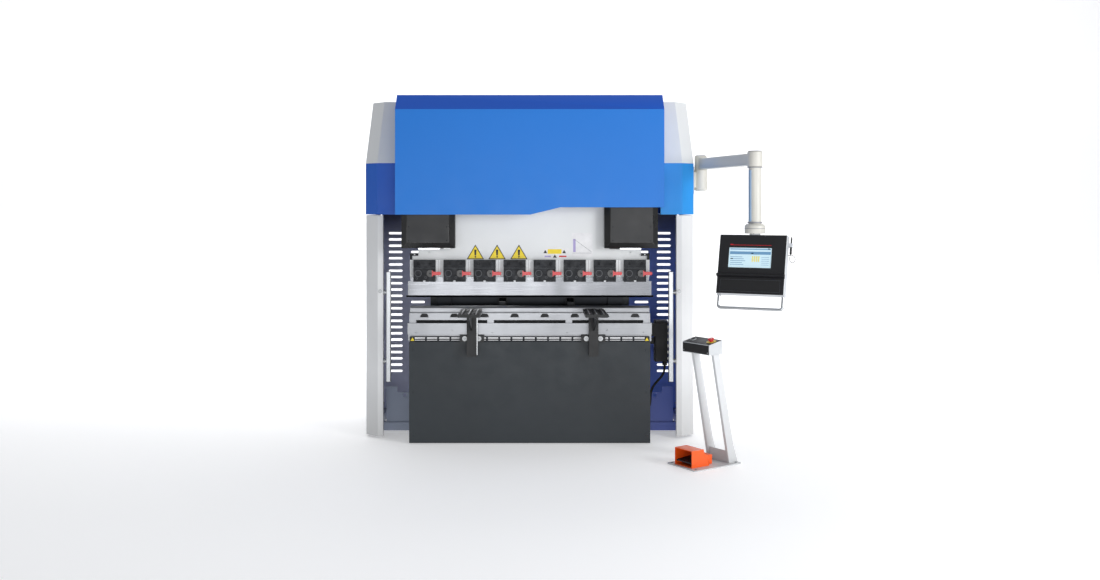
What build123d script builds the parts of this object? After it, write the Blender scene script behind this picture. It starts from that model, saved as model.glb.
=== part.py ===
from build123d import *

import os
from math import atan2, cos, degrees, hypot, radians, sin, tan

# CNC hydraulic press brake with a swinging control pendant and a movable foot-switch stand.
# Millimetres. X runs along the bed, Y points to the rear, Z is up. The origin is on the floor at the
# centre of the four anchor holes. "half" values are distances from the machine's middle plane X = 0,
# and every right-hand piece with a twin is mirrored across that plane.

# ---------------------------------------------------------------- driving dimensions
BED_LENGTH = 1600.0        # bed, ram and tools
FOOT_SPAN_Y = 720.0        # front to rear anchor holes
FOOT_PLATE = 150.0         # side of a square foot plate
FOOT_PLATE_T = 25.0
ANCHOR_HOLE_R = 13.0
ANCHOR_OUT = 50.0          # anchor hole beyond a side frame's outer face

FRAME_PLATE = 45.0         # side frame thickness
FRAME_INSET = 105.0        # side frame's outer face in from the end of the bed
THROAT_DEPTH = 320.0
THROAT_R = 60.0
JAW_BELOW = 37.0           # top of the frame's lower jaw below the top of the bed
REAR_GUARD_TOP = 1000.0    # top of the sheet that closes the rear between the frames

BED_PLATE = 60.0           # main vertical plate of bed and ram
BED_APRON = 20.0           # dark front plate
BED_FRONT = 85.0           # bed front ahead of the bending line
BED_HEIGHT = 677.0
BED_LIFT = 5.0

TABLE_HEIGHT = 123.0
TABLE_OVERHANG = 10.0
RAIL_SEAT = 45.0           # height of the recess that carries the support rail
HOLDER_HEIGHT = 66.0
HOLDER_HALF = 75.0
SLOT_HEIGHT = 20.0
SLOT_BRIDGE = 44.0
SLOT_END = 46.0
DIE_HEIGHT = 41.0
DIE_HALF = 35.0
DIE_TANG = 20.0
VEE_HALF_OPENING = 12.0
VEE_HALF_ANGLE = 44.0

TOOL_GAP = 59.0            # open gap between die top and punch tip
PUNCH_HEIGHT = 108.0
PUNCH_HALF = 13.0
PUNCH_HALF_ANGLE = 42.5
PUNCH_FLAT = 0.6           # half width of the blunt tip
PUNCH_OVER = 15.0          # punch body beyond the end of the bed
NOSE_OVER = 13.0           # punch nose beyond the punch body
TANG_HALF = 7.2
TANG_HEIGHT = 30.0

CLAMP_PITCH = 200.0        # nearest pitch: the clamps share the bed length equally
CLAMP_WIDTH = 146.0
CLAMP_HEIGHT = 145.0
JAW_HEIGHT = 94.0
LEVER_PIN_R = 5.0
LEVER_LENGTH = 122.0
LEVER_DOWN = 38.0          # lever pivot below the top of the clamp's jaw

RAM_FACE = 178.0           # ram bottom to its cylinder shoulders
RAM_UPPER_HALF = 530.0
RAM_UPPER = 610.0          # height of the ram plate above its shoulders
RAM_DOWN = 68.0            # ram travel below and above the position that is drawn
RAM_UP = 70.0
ROD_R = 45.0
ROD_FLANGE = 30.0
PISTON_R = 70.0
PISTON_T = 60.0
BARREL_R = 105.0
BARREL_LENGTH = 400.0
GLAND_T = 40.0
RUNNING = 0.05             # radial clearance of a shaft in its bore
SLIDING = 0.5              # clearance of sliding blocks

COVER_HALF = 177.5         # half width of a cylinder cover
COVER_FRONT = 130.0        # cover front ahead of the bending line
COVER_BEVEL = 38.0
SHEET = 3.0                # sheet-metal thickness

HOOD_SIDE_GAP = 85.0       # hood end beyond the end of the bed
HOOD_FRONT = 155.0         # hood front ahead of the bending line
HOOD_BEVEL = 104.0
HOOD_HEIGHT = 797.0
HOOD_STEP = 48.0           # the lower edge is higher on the right by this much
WING_WIDTH = 235.0         # side housing beyond the hood's end
WING_FRONT = 152.0         # side housing's front behind the bed's front
COLUMN_FACE = 36.0         # flat front of a door column
COLUMN_X = 126.0           # width of a door column
BAND_HEIGHT = 348.0
BAND_PROUD = 6.0
WING_LEAN = 150.0
UPPER_COVER_HEIGHT = 428.0

DOOR_SHEET = 2.5
DOOR_GAP = 5.0
DOOR_FLOOR_GAP = 15.0
HANDLE_HALF = 16.0         # half width of the handle's rounded square bar
HANDLE_LENGTH = 743.0
HANDLE_BOTTOM = 387.0

SILL_HEIGHT = 57.0
SILL_Y = 280.0             # front sill behind the side housing's front
SILL_DEPTH = 60.0
SLOT_ROWS = 23
SLOT_PITCH = 47.0

ARM_LENGTH = 380.0         # reach of a front sheet support
ARM_LEFT_X = -383.0
ARM_RIGHT_X = 421.0

GAUGE_REST = 240.0         # gauge beam's front behind the bending line, at rest
FINGER_LEFT_X = -186.0
FINGER_RIGHT_X = 279.0
SCREW_R = 10.0

BOOM_LENGTH = 823.0
BOOM_ANGLE = 15.0          # boom swings this far outwards from pointing straight ahead
BOOM_Z = 1868.0
PENDANT_YAW = -27.0        # control box turned towards the middle of the machine
PENDANT_TILT = 15.0
BOX_W = 424.0
BOX_H = 372.0
BOX_D = 72.0
SCREEN_W = 268.0
SCREEN_H = 126.0

STATION_X = 1068.0         # foot-switch stand: centre of its base, and how it is turned
STATION_Y = -1111.0
STATION_YAW = -56.0
STATION_BASE_W = 262.0
STATION_BASE_L = 386.0
STATION_HEIGHT = 680.0     # underside of the switch box
STATION_LEAN = 140.0

CABLE_R = 8.0
STYLUS_CORD_R = 1.5

# ---------------------------------------------------------------- derived places
tool_y = -(FOOT_SPAN_Y / 2 + FOOT_PLATE / 2 + 5 + BED_PLATE / 2)
bed_half = BED_LENGTH / 2
bed_front = tool_y - BED_FRONT
plate_front = tool_y - BED_PLATE / 2
plate_rear = tool_y + BED_PLATE / 2
frame_outer = bed_half - FRAME_INSET
frame_inner = frame_outer - FRAME_PLATE
frame_mid = (frame_outer + frame_inner) / 2
frame_rear = FOOT_SPAN_Y / 2 + FOOT_PLATE / 2
throat_y = tool_y + THROAT_DEPTH
lower_jaw = BED_HEIGHT - JAW_BELOW

table_top = BED_HEIGHT + TABLE_HEIGHT
holder_top = table_top + HOLDER_HEIGHT
die_top = holder_top + DIE_HEIGHT
vee_depth = VEE_HALF_OPENING / tan(radians(VEE_HALF_ANGLE))
punch_tip = die_top + TOOL_GAP
punch_shoulder = punch_tip + PUNCH_HEIGHT
tang_top = punch_shoulder + TANG_HEIGHT
clamp_bottom = punch_shoulder
clamp_top = clamp_bottom + CLAMP_HEIGHT
jaw_top = clamp_bottom + JAW_HEIGHT
ram_bottom = tang_top + 8
shoulder = ram_bottom + RAM_FACE
ram_top = shoulder + RAM_UPPER
barrel_bottom = shoulder + ROD_FLANGE + RAM_UP + 20
barrel_top = barrel_bottom + BARREL_LENGTH
throat_top = shoulder + 50
frame_top = ram_top + 200
jaw_y = tool_y + BARREL_R + 10     # front of the frame's upper jaw

clamp_count = round(BED_LENGTH / CLAMP_PITCH)
clamp_pitch = BED_LENGTH / clamp_count
clamp_x = [-bed_half + clamp_pitch * (i + 0.5) for i in range(clamp_count)]
clamp_half = CLAMP_WIDTH / 2
jaw_front = plate_front - 48

hood_bottom = shoulder + 231
hood_top = hood_bottom + HOOD_HEIGHT
hood_half = bed_half + HOOD_SIDE_GAP
hood_front = tool_y - HOOD_FRONT
wing_outer = hood_half + WING_WIDTH
wing_front = bed_front + WING_FRONT
wing_rear = frame_rear - 40
band_bottom = hood_bottom - 1
band_top = band_bottom + BAND_HEIGHT
cover_top = band_top + UPPER_COVER_HEIGHT
column_inner = wing_outer - COLUMN_X
column_chamfer = COLUMN_X - COLUMN_FACE
door_top = band_bottom - DOOR_GAP


# ---------------------------------------------------------------- helpers
def block(x0, x1, y0, y1, z0, z1):
    """Box between two corners."""
    return Pos((x0 + x1) / 2, (y0 + y1) / 2, (z0 + z1) / 2) * Box(x1 - x0, y1 - y0, z1 - z0)


def cyl_x(x0, x1, y, z, r):
    return Pos((x0 + x1) / 2, y, z) * Rot(0, 90, 0) * Cylinder(r, x1 - x0)


def cyl_y(x, y0, y1, z, r):
    return Pos(x, (y0 + y1) / 2, z) * Rot(90, 0, 0) * Cylinder(r, y1 - y0)


def cyl_z(x, y, z0, z1, r):
    return Pos(x, y, (z0 + z1) / 2) * Cylinder(r, z1 - z0)


def prism_x(points, x0, x1):
    """Solid with the outline points (y, z), from x0 to x1."""
    plane = Plane(origin=(x0, 0, 0), x_dir=(0, 1, 0), z_dir=(1, 0, 0))
    return extrude(plane * make_face(Polyline(*points, close=True)), x1 - x0)


def prism_y(points, y0, y1):
    """Solid with the outline points (x, z), from y0 to y1."""
    plane = Plane(origin=(0, y1, 0), x_dir=(1, 0, 0), z_dir=(0, -1, 0))
    return extrude(plane * make_face(Polyline(*points, close=True)), y1 - y0)


def prism_z(points, z0, z1):
    """Solid with the outline points (x, y), from z0 to z1."""
    plane = Plane(origin=(0, 0, z0), x_dir=(1, 0, 0), z_dir=(0, 0, 1))
    return extrude(plane * make_face(Polyline(*points, close=True)), z1 - z0)


def bent_sheet(path, thickness):
    """Outline of a folded sheet: path is one skin, and the other lies to the left of its direction."""
    normals = []
    for (ax, ay), (bx, by) in zip(path, path[1:]):
        run = hypot(bx - ax, by - ay)
        normals.append((-(by - ay) / run, (bx - ax) / run))
    inner = []
    for i, (px, py) in enumerate(path):
        nx0, ny0 = normals[max(i - 1, 0)]
        nx1, ny1 = normals[min(i, len(normals) - 1)]
        scale = thickness / (1 + nx0 * nx1 + ny0 * ny1)
        inner.append((px + (nx0 + nx1) * scale, py + (ny0 + ny1) * scale))
    return list(path) + inner[::-1]


def both_sides(*solids):
    """The pieces and their mirror images across X = 0."""
    return [*solids, *[mirror(s, Plane.YZ) for s in solids]]


def tube_path(points, radii, radius):
    """Round bar along straight runs joined by tangent arcs."""
    path = FilletPolyline(*points, radius=radii)
    return sweep(Plane(path @ 0, z_dir=path % 0) * Circle(radius), path)


def corner_radii(points, share=0.45):
    """The largest arc that each corner's two runs allow."""
    radii = []
    for a, b, c in zip(points, points[1:], points[2:]):
        first, second = Vector(*b) - Vector(*a), Vector(*c) - Vector(*b)
        turn = radians(first.get_angle(second))
        radii.append(share * min(first.length, second.length) / tan(turn / 2))
    return radii


def cord_tube(name, points, radius):
    """Tube along a cord's route, with the largest arcs that its runs allow."""
    radii = corner_radii(points)
    print(name, "bend radii", [round(r, 1) for r in radii])
    return tube_path(points, radii, radius)


def save(name, *shapes):
    """One STEP file for one node, with each piece as its own solid."""
    solids = [s for shape in shapes for s in shape.solids()]
    export_step(Compound(solids), f"parts/{name}.step")


# ---------------------------------------------------------------- main structure
def side_frames():
    """C-shaped plates that carry the load round the throat."""
    outline = [
        (plate_rear, FOOT_PLATE_T), (frame_rear, FOOT_PLATE_T), (frame_rear, frame_top - 180),
        (frame_rear - 180, frame_top), (jaw_y, frame_top), (jaw_y, throat_top), (throat_y, throat_top),
        (throat_y, lower_jaw), (plate_rear, lower_jaw),
    ]
    frame = prism_x(outline, frame_inner, frame_outer)
    corners = frame.edges().filter_by(Axis.X).filter_by(
        lambda e: abs(e.center().Y - throat_y) < 1
    )
    save("side_frames", *both_sides(fillet(corners, THROAT_R)))


def foot_plates():
    """Square plates with one anchor hole each, welded under the side frames."""
    plates = []
    for y in (-FOOT_SPAN_Y / 2, FOOT_SPAN_Y / 2):
        hole_x = frame_outer + ANCHOR_OUT
        outer = hole_x + FOOT_PLATE / 3
        plate = block(outer - FOOT_PLATE, outer, y - FOOT_PLATE / 2, y + FOOT_PLATE / 2, 0, FOOT_PLATE_T)
        plates.append(plate - cyl_z(hole_x, y, -1, FOOT_PLATE_T + 1, ANCHOR_HOLE_R))
    save("foot_plates", *both_sides(*plates))


def frame_ties():
    """Cross members between the side frames, low at the rear and at the top, and a rear guard sheet."""
    low = block(-frame_inner, frame_inner, frame_rear - 160, frame_rear - 40, 400, lower_jaw)
    low -= block(-frame_inner, frame_inner, frame_rear - 148, frame_rear - 52, 412, lower_jaw - 12)
    high = block(-frame_inner, frame_inner, frame_rear - 240, frame_rear - 200, frame_top - 90, frame_top - 20)
    front = block(-frame_inner, frame_inner, jaw_y + 10, jaw_y + 50, frame_top - 90, frame_top - 20)
    guard_y = frame_rear - 20
    guard = block(-frame_inner, frame_inner, guard_y, guard_y + SHEET, lower_jaw, REAR_GUARD_TOP)
    save("frame_ties", low, high, front, guard)


def bed_beam():
    """Dark front apron, spacer ribs and the main plate that bolts to both side frames."""
    apron = block(-bed_half, bed_half, bed_front, bed_front + BED_APRON, BED_LIFT, BED_HEIGHT)
    core = block(-bed_half, bed_half, plate_front, plate_rear, BED_LIFT, BED_HEIGHT)
    ribs = [
        block(x - 12, x + 12, bed_front + BED_APRON, plate_front, BED_LIFT, BED_HEIGHT)
        for x in (-bed_half + 12, -bed_half / 2, 0, bed_half / 2, bed_half - 12)
    ]
    save("bed_beam", apron + core + ribs)


# ---------------------------------------------------------------- table and lower tools
seat_top = BED_HEIGHT + RAIL_SEAT
rail_depth = 30.0
rail_height = 33.0
rail_back = bed_front + 3 + rail_depth
table_front = bed_front - 3
table_rear = plate_rear + 30


def die_table():
    """Ground table with a recess in front for the support rail, and a row of small blind holes."""
    outline = [
        (rail_back, BED_HEIGHT), (plate_rear, BED_HEIGHT), (plate_rear, seat_top), (table_rear, seat_top),
        (table_rear, table_top), (table_front, table_top), (table_front, seat_top + 4), (rail_back, seat_top + 4),
    ]
    half = bed_half + TABLE_OVERHANG
    table = prism_x(outline, -half, half)
    for share, z in ((0.94, table_top - 60), (0.64, table_top - 43), (0.31, table_top - 60)):
        for x in (-bed_half * share, bed_half * share):
            table -= cyl_y(x, table_front - 1, table_front + 12, z, 6)
    save("die_table", table)


def support_rail():
    """Linear rail along the front of the bed, with end stops."""
    front = rail_back - rail_depth
    half = bed_half - 4
    rail = block(-half, half, front, rail_back, BED_HEIGHT, BED_HEIGHT + rail_height)
    groove = block(-half, half, front - 1, front + 5, BED_HEIGHT + 13, BED_HEIGHT + 20)
    save("support_rail", rail - groove)


slot_bottom = table_top
slot_top = table_top + SLOT_HEIGHT
bridge_x = bed_half * 0.325      # centre of the bridges between the wedge lengths
holder_front = tool_y - HOLDER_HALF


def crowning_wedges():
    """Three dark wedge lengths that lie between table and die holder."""
    gap = 1.0
    spans = [
        (-bed_half + SLOT_END + gap, -bridge_x - SLOT_BRIDGE / 2 - gap),
        (-bridge_x + SLOT_BRIDGE / 2 + gap, bridge_x - SLOT_BRIDGE / 2 - gap),
        (bridge_x + SLOT_BRIDGE / 2 + gap, bed_half - SLOT_END - gap),
    ]
    depth = HOLDER_HALF - 12
    save("crowning_wedges", *[
        block(a, b, tool_y - depth, tool_y + depth, slot_bottom, slot_top) for a, b in spans
    ])


def die_holder():
    """Holder rail on four feet, with a half-round pocket under each clamp and a slot for the die's tang."""
    rear = tool_y + HOLDER_HALF
    rail = block(-bed_half, bed_half, holder_front, rear, slot_top, holder_top)
    feet = [
        block(x - w / 2, x + w / 2, holder_front, rear, slot_bottom, slot_top)
        for x, w in (
            (-bed_half + SLOT_END / 2, SLOT_END), (-bridge_x, SLOT_BRIDGE),
            (bridge_x, SLOT_BRIDGE), (bed_half - SLOT_END / 2, SLOT_END),
        )
    ]
    tang_half = DIE_TANG / 2
    tang = block(-bed_half, bed_half, tool_y - tang_half, tool_y + tang_half, holder_top - DIE_TANG, holder_top)
    holder = rail + feet - tang
    pocket_z, depth = slot_top + 18, 40
    for x in clamp_x:
        disc = cyl_y(x, holder_front - 1, holder_front + depth, pocket_z, 28.5)
        holder -= disc & block(x - 30, x + 30, holder_front - 1, holder_front + depth, pocket_z, holder_top - 3)
    save("die_holder", holder)


def lower_die():
    """Single-vee die that runs the whole length of the bed."""
    front, rear = tool_y - DIE_HALF, tool_y + DIE_HALF
    outline = [
        (front, holder_top), (tool_y - DIE_TANG / 2, holder_top), (tool_y - DIE_TANG / 2, holder_top - DIE_TANG),
        (tool_y + DIE_TANG / 2, holder_top - DIE_TANG), (tool_y + DIE_TANG / 2, holder_top), (rear, holder_top),
        (rear, die_top - 12), (tool_y + DIE_HALF - 10, die_top), (tool_y + VEE_HALF_OPENING, die_top),
        (tool_y, die_top - vee_depth), (tool_y - VEE_HALF_OPENING, die_top), (tool_y - DIE_HALF + 10, die_top),
        (front, die_top - 12),
    ]
    save("lower_die", prism_x(outline, -bed_half, bed_half))


# ---------------------------------------------------------------- ram and upper tools
def ram_beam():
    """Moving plate: a wide lower part with two shoulders under the cylinders, and a narrow upper part."""
    step = bed_half - 56
    outline = [
        (-bed_half, ram_bottom), (bed_half, ram_bottom), (bed_half, shoulder - 46), (step, shoulder - 46),
        (step, shoulder), (RAM_UPPER_HALF, shoulder), (RAM_UPPER_HALF, ram_top), (-RAM_UPPER_HALF, ram_top),
        (-RAM_UPPER_HALF, shoulder), (-step, shoulder), (-step, shoulder - 46), (-bed_half, shoulder - 46),
    ]
    ram = prism_y(outline, plate_front, plate_rear)
    for x in (-frame_mid, frame_mid):
        ram -= cyl_y(x, plate_front - 1, plate_front + 20, shoulder - 20, 6)
    lip = block(-bed_half, bed_half, tool_y + TANG_HALF, plate_rear, clamp_bottom, ram_bottom)
    save("ram_beam", ram + lip)


def punch():
    """Straight punch with a narrow nose that stands out past both ends, and a tang in the clamps."""
    nose_height = (PUNCH_HALF - PUNCH_FLAT) / tan(radians(PUNCH_HALF_ANGLE))
    body_half = bed_half + PUNCH_OVER
    nose = prism_x([
        (tool_y - PUNCH_FLAT, punch_tip), (tool_y + PUNCH_FLAT, punch_tip),
        (tool_y + PUNCH_HALF, punch_tip + nose_height), (tool_y - PUNCH_HALF, punch_tip + nose_height),
    ], -body_half - NOSE_OVER, body_half + NOSE_OVER)
    body = block(-body_half, body_half, tool_y - PUNCH_HALF, tool_y + PUNCH_HALF,
                 punch_tip + nose_height, punch_shoulder)
    tang = block(-bed_half, bed_half, tool_y - TANG_HALF, tool_y + TANG_HALF, punch_shoulder, tang_top)
    save("punch", nose + body + tang)


lever_z = jaw_top - LEVER_DOWN
lever_x = 40.0                     # lever pivot beside the clamp's centre
pin_front = jaw_front - 16


def clamp(x):
    """Upper block bolted to the ram, and a jaw that presses the tang against the ram's rear lip."""
    upper = block(x - clamp_half, x + clamp_half, jaw_front + 4, plate_front, jaw_top + 1, clamp_top)
    for side in (-1, 1):
        upper -= cyl_y(x + side * 40, jaw_front, jaw_front + 16, (jaw_top + clamp_top) / 2, 9)
    jaw = prism_x([
        (jaw_front, clamp_bottom), (tool_y - TANG_HALF, clamp_bottom), (tool_y - TANG_HALF, ram_bottom - 1),
        (plate_front, ram_bottom - 1), (plate_front, jaw_top), (jaw_front, jaw_top),
    ], x - clamp_half, x + clamp_half)
    jaw -= block(x - 10, x + 10, jaw_front - 1, jaw_front + 12, clamp_bottom - 1, clamp_bottom + 16)
    screw = cyl_y(x - lever_x, jaw_front - 8, jaw_front, lever_z, 24)
    socket = Plane(origin=(x - lever_x, jaw_front - 9, lever_z), z_dir=(0, 1, 0)) * RegularPolygon(9, 6)
    screw -= extrude(socket, 7)
    stud = cyl_y(x + lever_x, pin_front, jaw_front, lever_z, LEVER_PIN_R)
    return [upper, jaw + screw + stud]


def tool_clamps():
    pieces = [piece for x in clamp_x for piece in clamp(x)]
    edges = [-bed_half + 8, *[x + side * clamp_half for x in clamp_x for side in (-1, 1)], bed_half - 8]
    fillers = [
        block(a, b, plate_front - 20, plate_front, tang_top, jaw_top - 10)
        for a, b in zip(edges[::2], edges[1::2])
    ]
    save("tool_clamps", *pieces, *fillers)


def clamp_lever(index, x):
    """Eccentric lever: a disc on the stud, and a flat grip that points to the side."""
    px = x + lever_x
    disc = cyl_y(px, jaw_front - 12, jaw_front - 0.3, lever_z, 24)
    grip = block(px, px + LEVER_LENGTH - 50, jaw_front - 12, jaw_front - 2, lever_z - 11, lever_z + 11)
    lever = disc + grip
    tip = lever.edges().filter_by(Axis.Y).sort_by(Axis.X)[-2:]
    lever = fillet(tip, 8) - cyl_y(px, jaw_front - 13, jaw_front, lever_z, LEVER_PIN_R + RUNNING)
    save(f"clamp_lever_{index}", lever)


def piston_rods():
    """Foot flange on the ram's shoulder, rod and piston."""
    piston_bottom = barrel_bottom + GLAND_T + RAM_DOWN + 5
    rods = []
    for x in (-frame_mid, frame_mid):
        flange = block(x - 70, x + 70, tool_y - 50, tool_y + 50, shoulder, shoulder + ROD_FLANGE)
        rod = cyl_z(x, tool_y, shoulder + ROD_FLANGE, piston_bottom, ROD_R)
        rods.append(flange + rod + cyl_z(x, tool_y, piston_bottom, piston_bottom + PISTON_T, PISTON_R))
    save("piston_rods", *rods)


def cylinder_barrels():
    """Closed barrels with a bored gland below, on pads that bolt to the frames' upper jaws."""
    barrels = []
    for x in (-frame_mid, frame_mid):
        barrel = cyl_z(x, tool_y, barrel_bottom, barrel_top, BARREL_R)
        barrel += block(x - 80, x + 80, tool_y, jaw_y, barrel_bottom + 30, barrel_top - 30)
        barrel += cyl_z(x, tool_y, barrel_top, barrel_top + 22, 60)
        barrel -= cyl_z(x, tool_y, barrel_bottom + GLAND_T, barrel_top - 30, PISTON_R + RUNNING)
        barrel -= cyl_z(x, tool_y, barrel_bottom - 1, barrel_bottom + GLAND_T + 1, ROD_R + RUNNING)
        barrels.append(barrel)
    save("cylinder_barrels", *barrels)


guide_x = RAM_UPPER_HALF - 40      # middle of a guide rail
guide_bottom = shoulder + 130
guide_top = guide_bottom + 400
guide_back = jaw_y + 5             # bracket's front face
rail_half = 12.0


def ram_guides():
    """Vertical rails on brackets from the side frames, and a linear scale beside each."""
    bracket = block(guide_x - 40, frame_inner, guide_back, guide_back + 30, guide_bottom, guide_top)
    rail = block(guide_x - rail_half, guide_x + rail_half, plate_rear + 40, guide_back, guide_bottom, guide_top)
    scale = block(frame_inner - 24, frame_inner, guide_back + 30, guide_back + 60, guide_bottom, guide_top)
    save("ram_guides", *both_sides(bracket + rail, scale))


def guide_blocks():
    """Channel blocks on the rear of the ram that run on the guide rails."""
    depth = guide_back - 8
    z0 = guide_bottom + RAM_DOWN + 10
    piece = block(guide_x - 36, guide_x + 36, plate_rear, depth, z0, z0 + 180)
    piece -= block(guide_x - rail_half - SLIDING, guide_x + rail_half + SLIDING,
                   plate_rear + 40 - SLIDING, depth + 1, z0 - 1, z0 + 181)
    save("guide_blocks", *both_sides(piece))


# ---------------------------------------------------------------- hydraulics and electrics
TANK_WALL = 6.0
tank_bottom = barrel_bottom + 150
tank_top = tank_bottom + 420
tank_front = guide_back + 110
tank_rear = frame_rear - 105


def oil_tank():
    """Welded oil tank between the side frames, with a filler cap on top."""
    tank = block(-frame_inner, frame_inner, tank_front, tank_rear, tank_bottom, tank_top)
    tank = fillet(tank.edges().filter_by(Axis.X), 12)
    wall = TANK_WALL
    tank -= block(-frame_inner + wall, frame_inner - wall, tank_front + wall, tank_rear - wall,
                  tank_bottom + wall, tank_top - wall)
    cap = cyl_z(-440, tank_front + 150, tank_top, tank_top + 50, 38)
    window = block(-560, -530, tank_rear, tank_rear + 8, tank_bottom + 120, tank_bottom + 280)
    save("oil_tank", tank + cap + window)


def pump_unit():
    """Motor on a foot, bell housing and pump, in line on the tank."""
    y, z = (tank_front + tank_rear) / 2, tank_top + 105
    foot = block(-130, 150, y - 70, y + 70, tank_top, tank_top + 30)
    motor = cyl_x(-150, 170, y, z, 82) + cyl_x(170, 195, y, z, 66)
    fins = [cyl_x(x - 3, x + 3, y, z, 90) for x in range(-120, 150, 18)]
    unit = foot + motor + fins + cyl_x(-210, -150, y, z, 60) + cyl_x(-330, -210, y, z, 42)
    unit += block(-60, 60, y - 50, y + 50, tank_top + 20, z)
    save("pump_unit", unit)


def hydraulic_lines():
    """Rigid pipes from a valve block on the tank's front wall to the head of each barrel."""
    z = frame_top + 30
    y = tank_front + 40
    valve = block(-430, -330, y - 30, y + 40, tank_top, tank_top + 90)
    pipes = []
    for start, x in ((-410, -frame_mid), (-350, frame_mid)):
        points = [
            (start, y, tank_top + 90), (start, y, z), (start, tool_y, z),
            (x, tool_y, z), (x, tool_y, barrel_top + 22),
        ]
        pipes.append(tube_path(points, [40, 60, 60], 9))
    save("hydraulic_lines", valve, *pipes)


cabinet_left, cabinet_right = -100.0, frame_inner - 10
cabinet_front, cabinet_rear = frame_rear - 285, frame_rear - 40
cabinet_bottom, cabinet_top = 1010.0, tank_bottom - 30
cabinet_hinge_r = 8.0


def control_cabinet():
    """Electrical cabinet under the tank, open at the rear, on brackets from the right side frame."""
    shell = block(cabinet_left, cabinet_right, cabinet_front, cabinet_rear, cabinet_bottom, cabinet_top)
    shell -= block(cabinet_left + SHEET, cabinet_right - SHEET, cabinet_front + SHEET, cabinet_rear + 1,
                   cabinet_bottom + SHEET, cabinet_top - SHEET)
    plate = block(cabinet_left + 30, cabinet_right - 30, cabinet_front + SHEET, cabinet_front + 30,
                  cabinet_bottom + 30, cabinet_top - 30)
    gear = [
        block(x, x + 90, cabinet_front + 30, cabinet_front + 130, z, z + 110)
        for x in range(-50, 500, 130) for z in (cabinet_bottom + 80, cabinet_bottom + 280)
    ]
    shell += plate + gear
    bracket = block(cabinet_right, frame_inner, cabinet_front + 20, cabinet_rear - 20, cabinet_bottom, cabinet_top)
    pins = []
    for z in (cabinet_bottom + 60, cabinet_top - 110):
        pins.append(cyl_z(cabinet_left - 9, cabinet_rear + 9, z, z + 50, 4))
        pins.append(block(cabinet_left - 13, cabinet_left - 4, cabinet_rear - 22, cabinet_rear + 13, z - 8, z))
        pins.append(block(cabinet_left - 13, cabinet_left, cabinet_rear - 22, cabinet_rear - 3, z - 8, z))
    save("control_cabinet", shell + bracket + pins)


def cabinet_door():
    """Rear door of the electrical cabinet, hinged at its left edge, with a rotary latch."""
    gap = 1.0
    x0, x1 = cabinet_left, cabinet_right - 4
    y0, y1 = cabinet_rear + gap, cabinet_rear + gap + 22
    door = block(x0, x1, y0, y1, cabinet_bottom + 4, cabinet_top - 4)
    door -= block(x0 + SHEET, x1 - SHEET, y0 - 1, y1 - SHEET, cabinet_bottom + 4 + SHEET, cabinet_top - 4 - SHEET)
    door += cyl_y(x1 - 50, y1, y1 + 20, (cabinet_bottom + cabinet_top) / 2, 14)
    for z in (cabinet_bottom + 60, cabinet_top - 110):
        knuckle = cyl_z(cabinet_left - 9, cabinet_rear + 9, z + 0.5, z + 50, cabinet_hinge_r)
        leaf = block(cabinet_left - 9, cabinet_left + 10, cabinet_rear + 8, cabinet_rear + 11, z + 0.5, z + 50)
        door += knuckle + leaf
        door -= cyl_z(cabinet_left - 9, cabinet_rear + 9, z - 1, z + 51, 4 + RUNNING)
    save("cabinet_door", door)


# ---------------------------------------------------------------- covers
def cylinder_covers():
    """Sheet covers in front of the cylinders, with bevelled borders, open at the rear and bottom."""
    z0, z1 = shoulder + 8, barrel_top + 40
    back = plate_front - 6
    front = tool_y - COVER_FRONT

    def body(inset):
        x0, x1 = frame_mid - COVER_HALF + inset, frame_mid + COVER_HALF - inset
        low = z0 + inset
        bevel_y = front + COVER_BEVEL
        side = prism_x([
            (back, low), (bevel_y + inset, low), (front + inset, low + COVER_BEVEL),
            (front + inset, z1 - inset - COVER_BEVEL), (bevel_y + inset, z1 - inset), (back, z1 - inset),
        ], x0, x1)
        plan = prism_z([
            (x0, back), (x0, bevel_y + inset), (x0 + COVER_BEVEL, front + inset),
            (x1 - COVER_BEVEL, front + inset), (x1, bevel_y + inset), (x1, back),
        ], low, z1 - inset)
        return side & plan

    hollow = body(SHEET)
    mouth = block(frame_mid - COVER_HALF + SHEET, frame_mid + COVER_HALF - SHEET,
                  front + COVER_BEVEL + SHEET, back + 1, z0 - 1, z0 + SHEET + 1)
    rear = block(frame_mid - COVER_HALF + SHEET, frame_mid + COVER_HALF - SHEET,
                 back - SHEET, back + 1, z0, z1 - SHEET)
    save("cylinder_covers", *both_sides(body(0) - hollow - mouth - rear))


def front_hood():
    """Folded hood: front with a stepped lower edge, 45 degree bevel, roof and two end walls."""
    rear = frame_rear
    path = [
        (rear, hood_top), (hood_front + HOOD_BEVEL, hood_top), (hood_front, hood_top - HOOD_BEVEL),
        (hood_front, hood_bottom),
    ]
    skin = prism_x(bent_sheet(path, SHEET), -hood_half, hood_half)
    walls = prism_x([
        (rear, hood_top - 1), (hood_front + HOOD_BEVEL, hood_top - 1), (hood_front + 1, hood_top - HOOD_BEVEL),
        (hood_front + 1, hood_bottom), (wing_front - 30, hood_bottom), (wing_front - 30, band_top),
        (rear, band_top),
    ], hood_half - SHEET, hood_half)
    raised = hood_bottom + HOOD_STEP
    step = prism_y([
        (0, hood_bottom - 1), (HOOD_STEP * 4.2, raised), (hood_half + 1, raised), (hood_half + 1, hood_bottom - 1),
    ], hood_front - 1, wing_front)
    lip = block(-hood_half, 0, hood_front, hood_front + 24, hood_bottom, hood_bottom + SHEET)
    save("front_hood", skin + both_sides(walls) - step + lip)


def wing_plan(front, outer, chamfer_from):
    """Plan of a side housing's skin: front, chamfer and side, from the hood outwards."""
    corner = (outer, front + outer - chamfer_from)
    return [(hood_half + 1, front), (chamfer_from, front), corner, (outer, wing_rear)]


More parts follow.
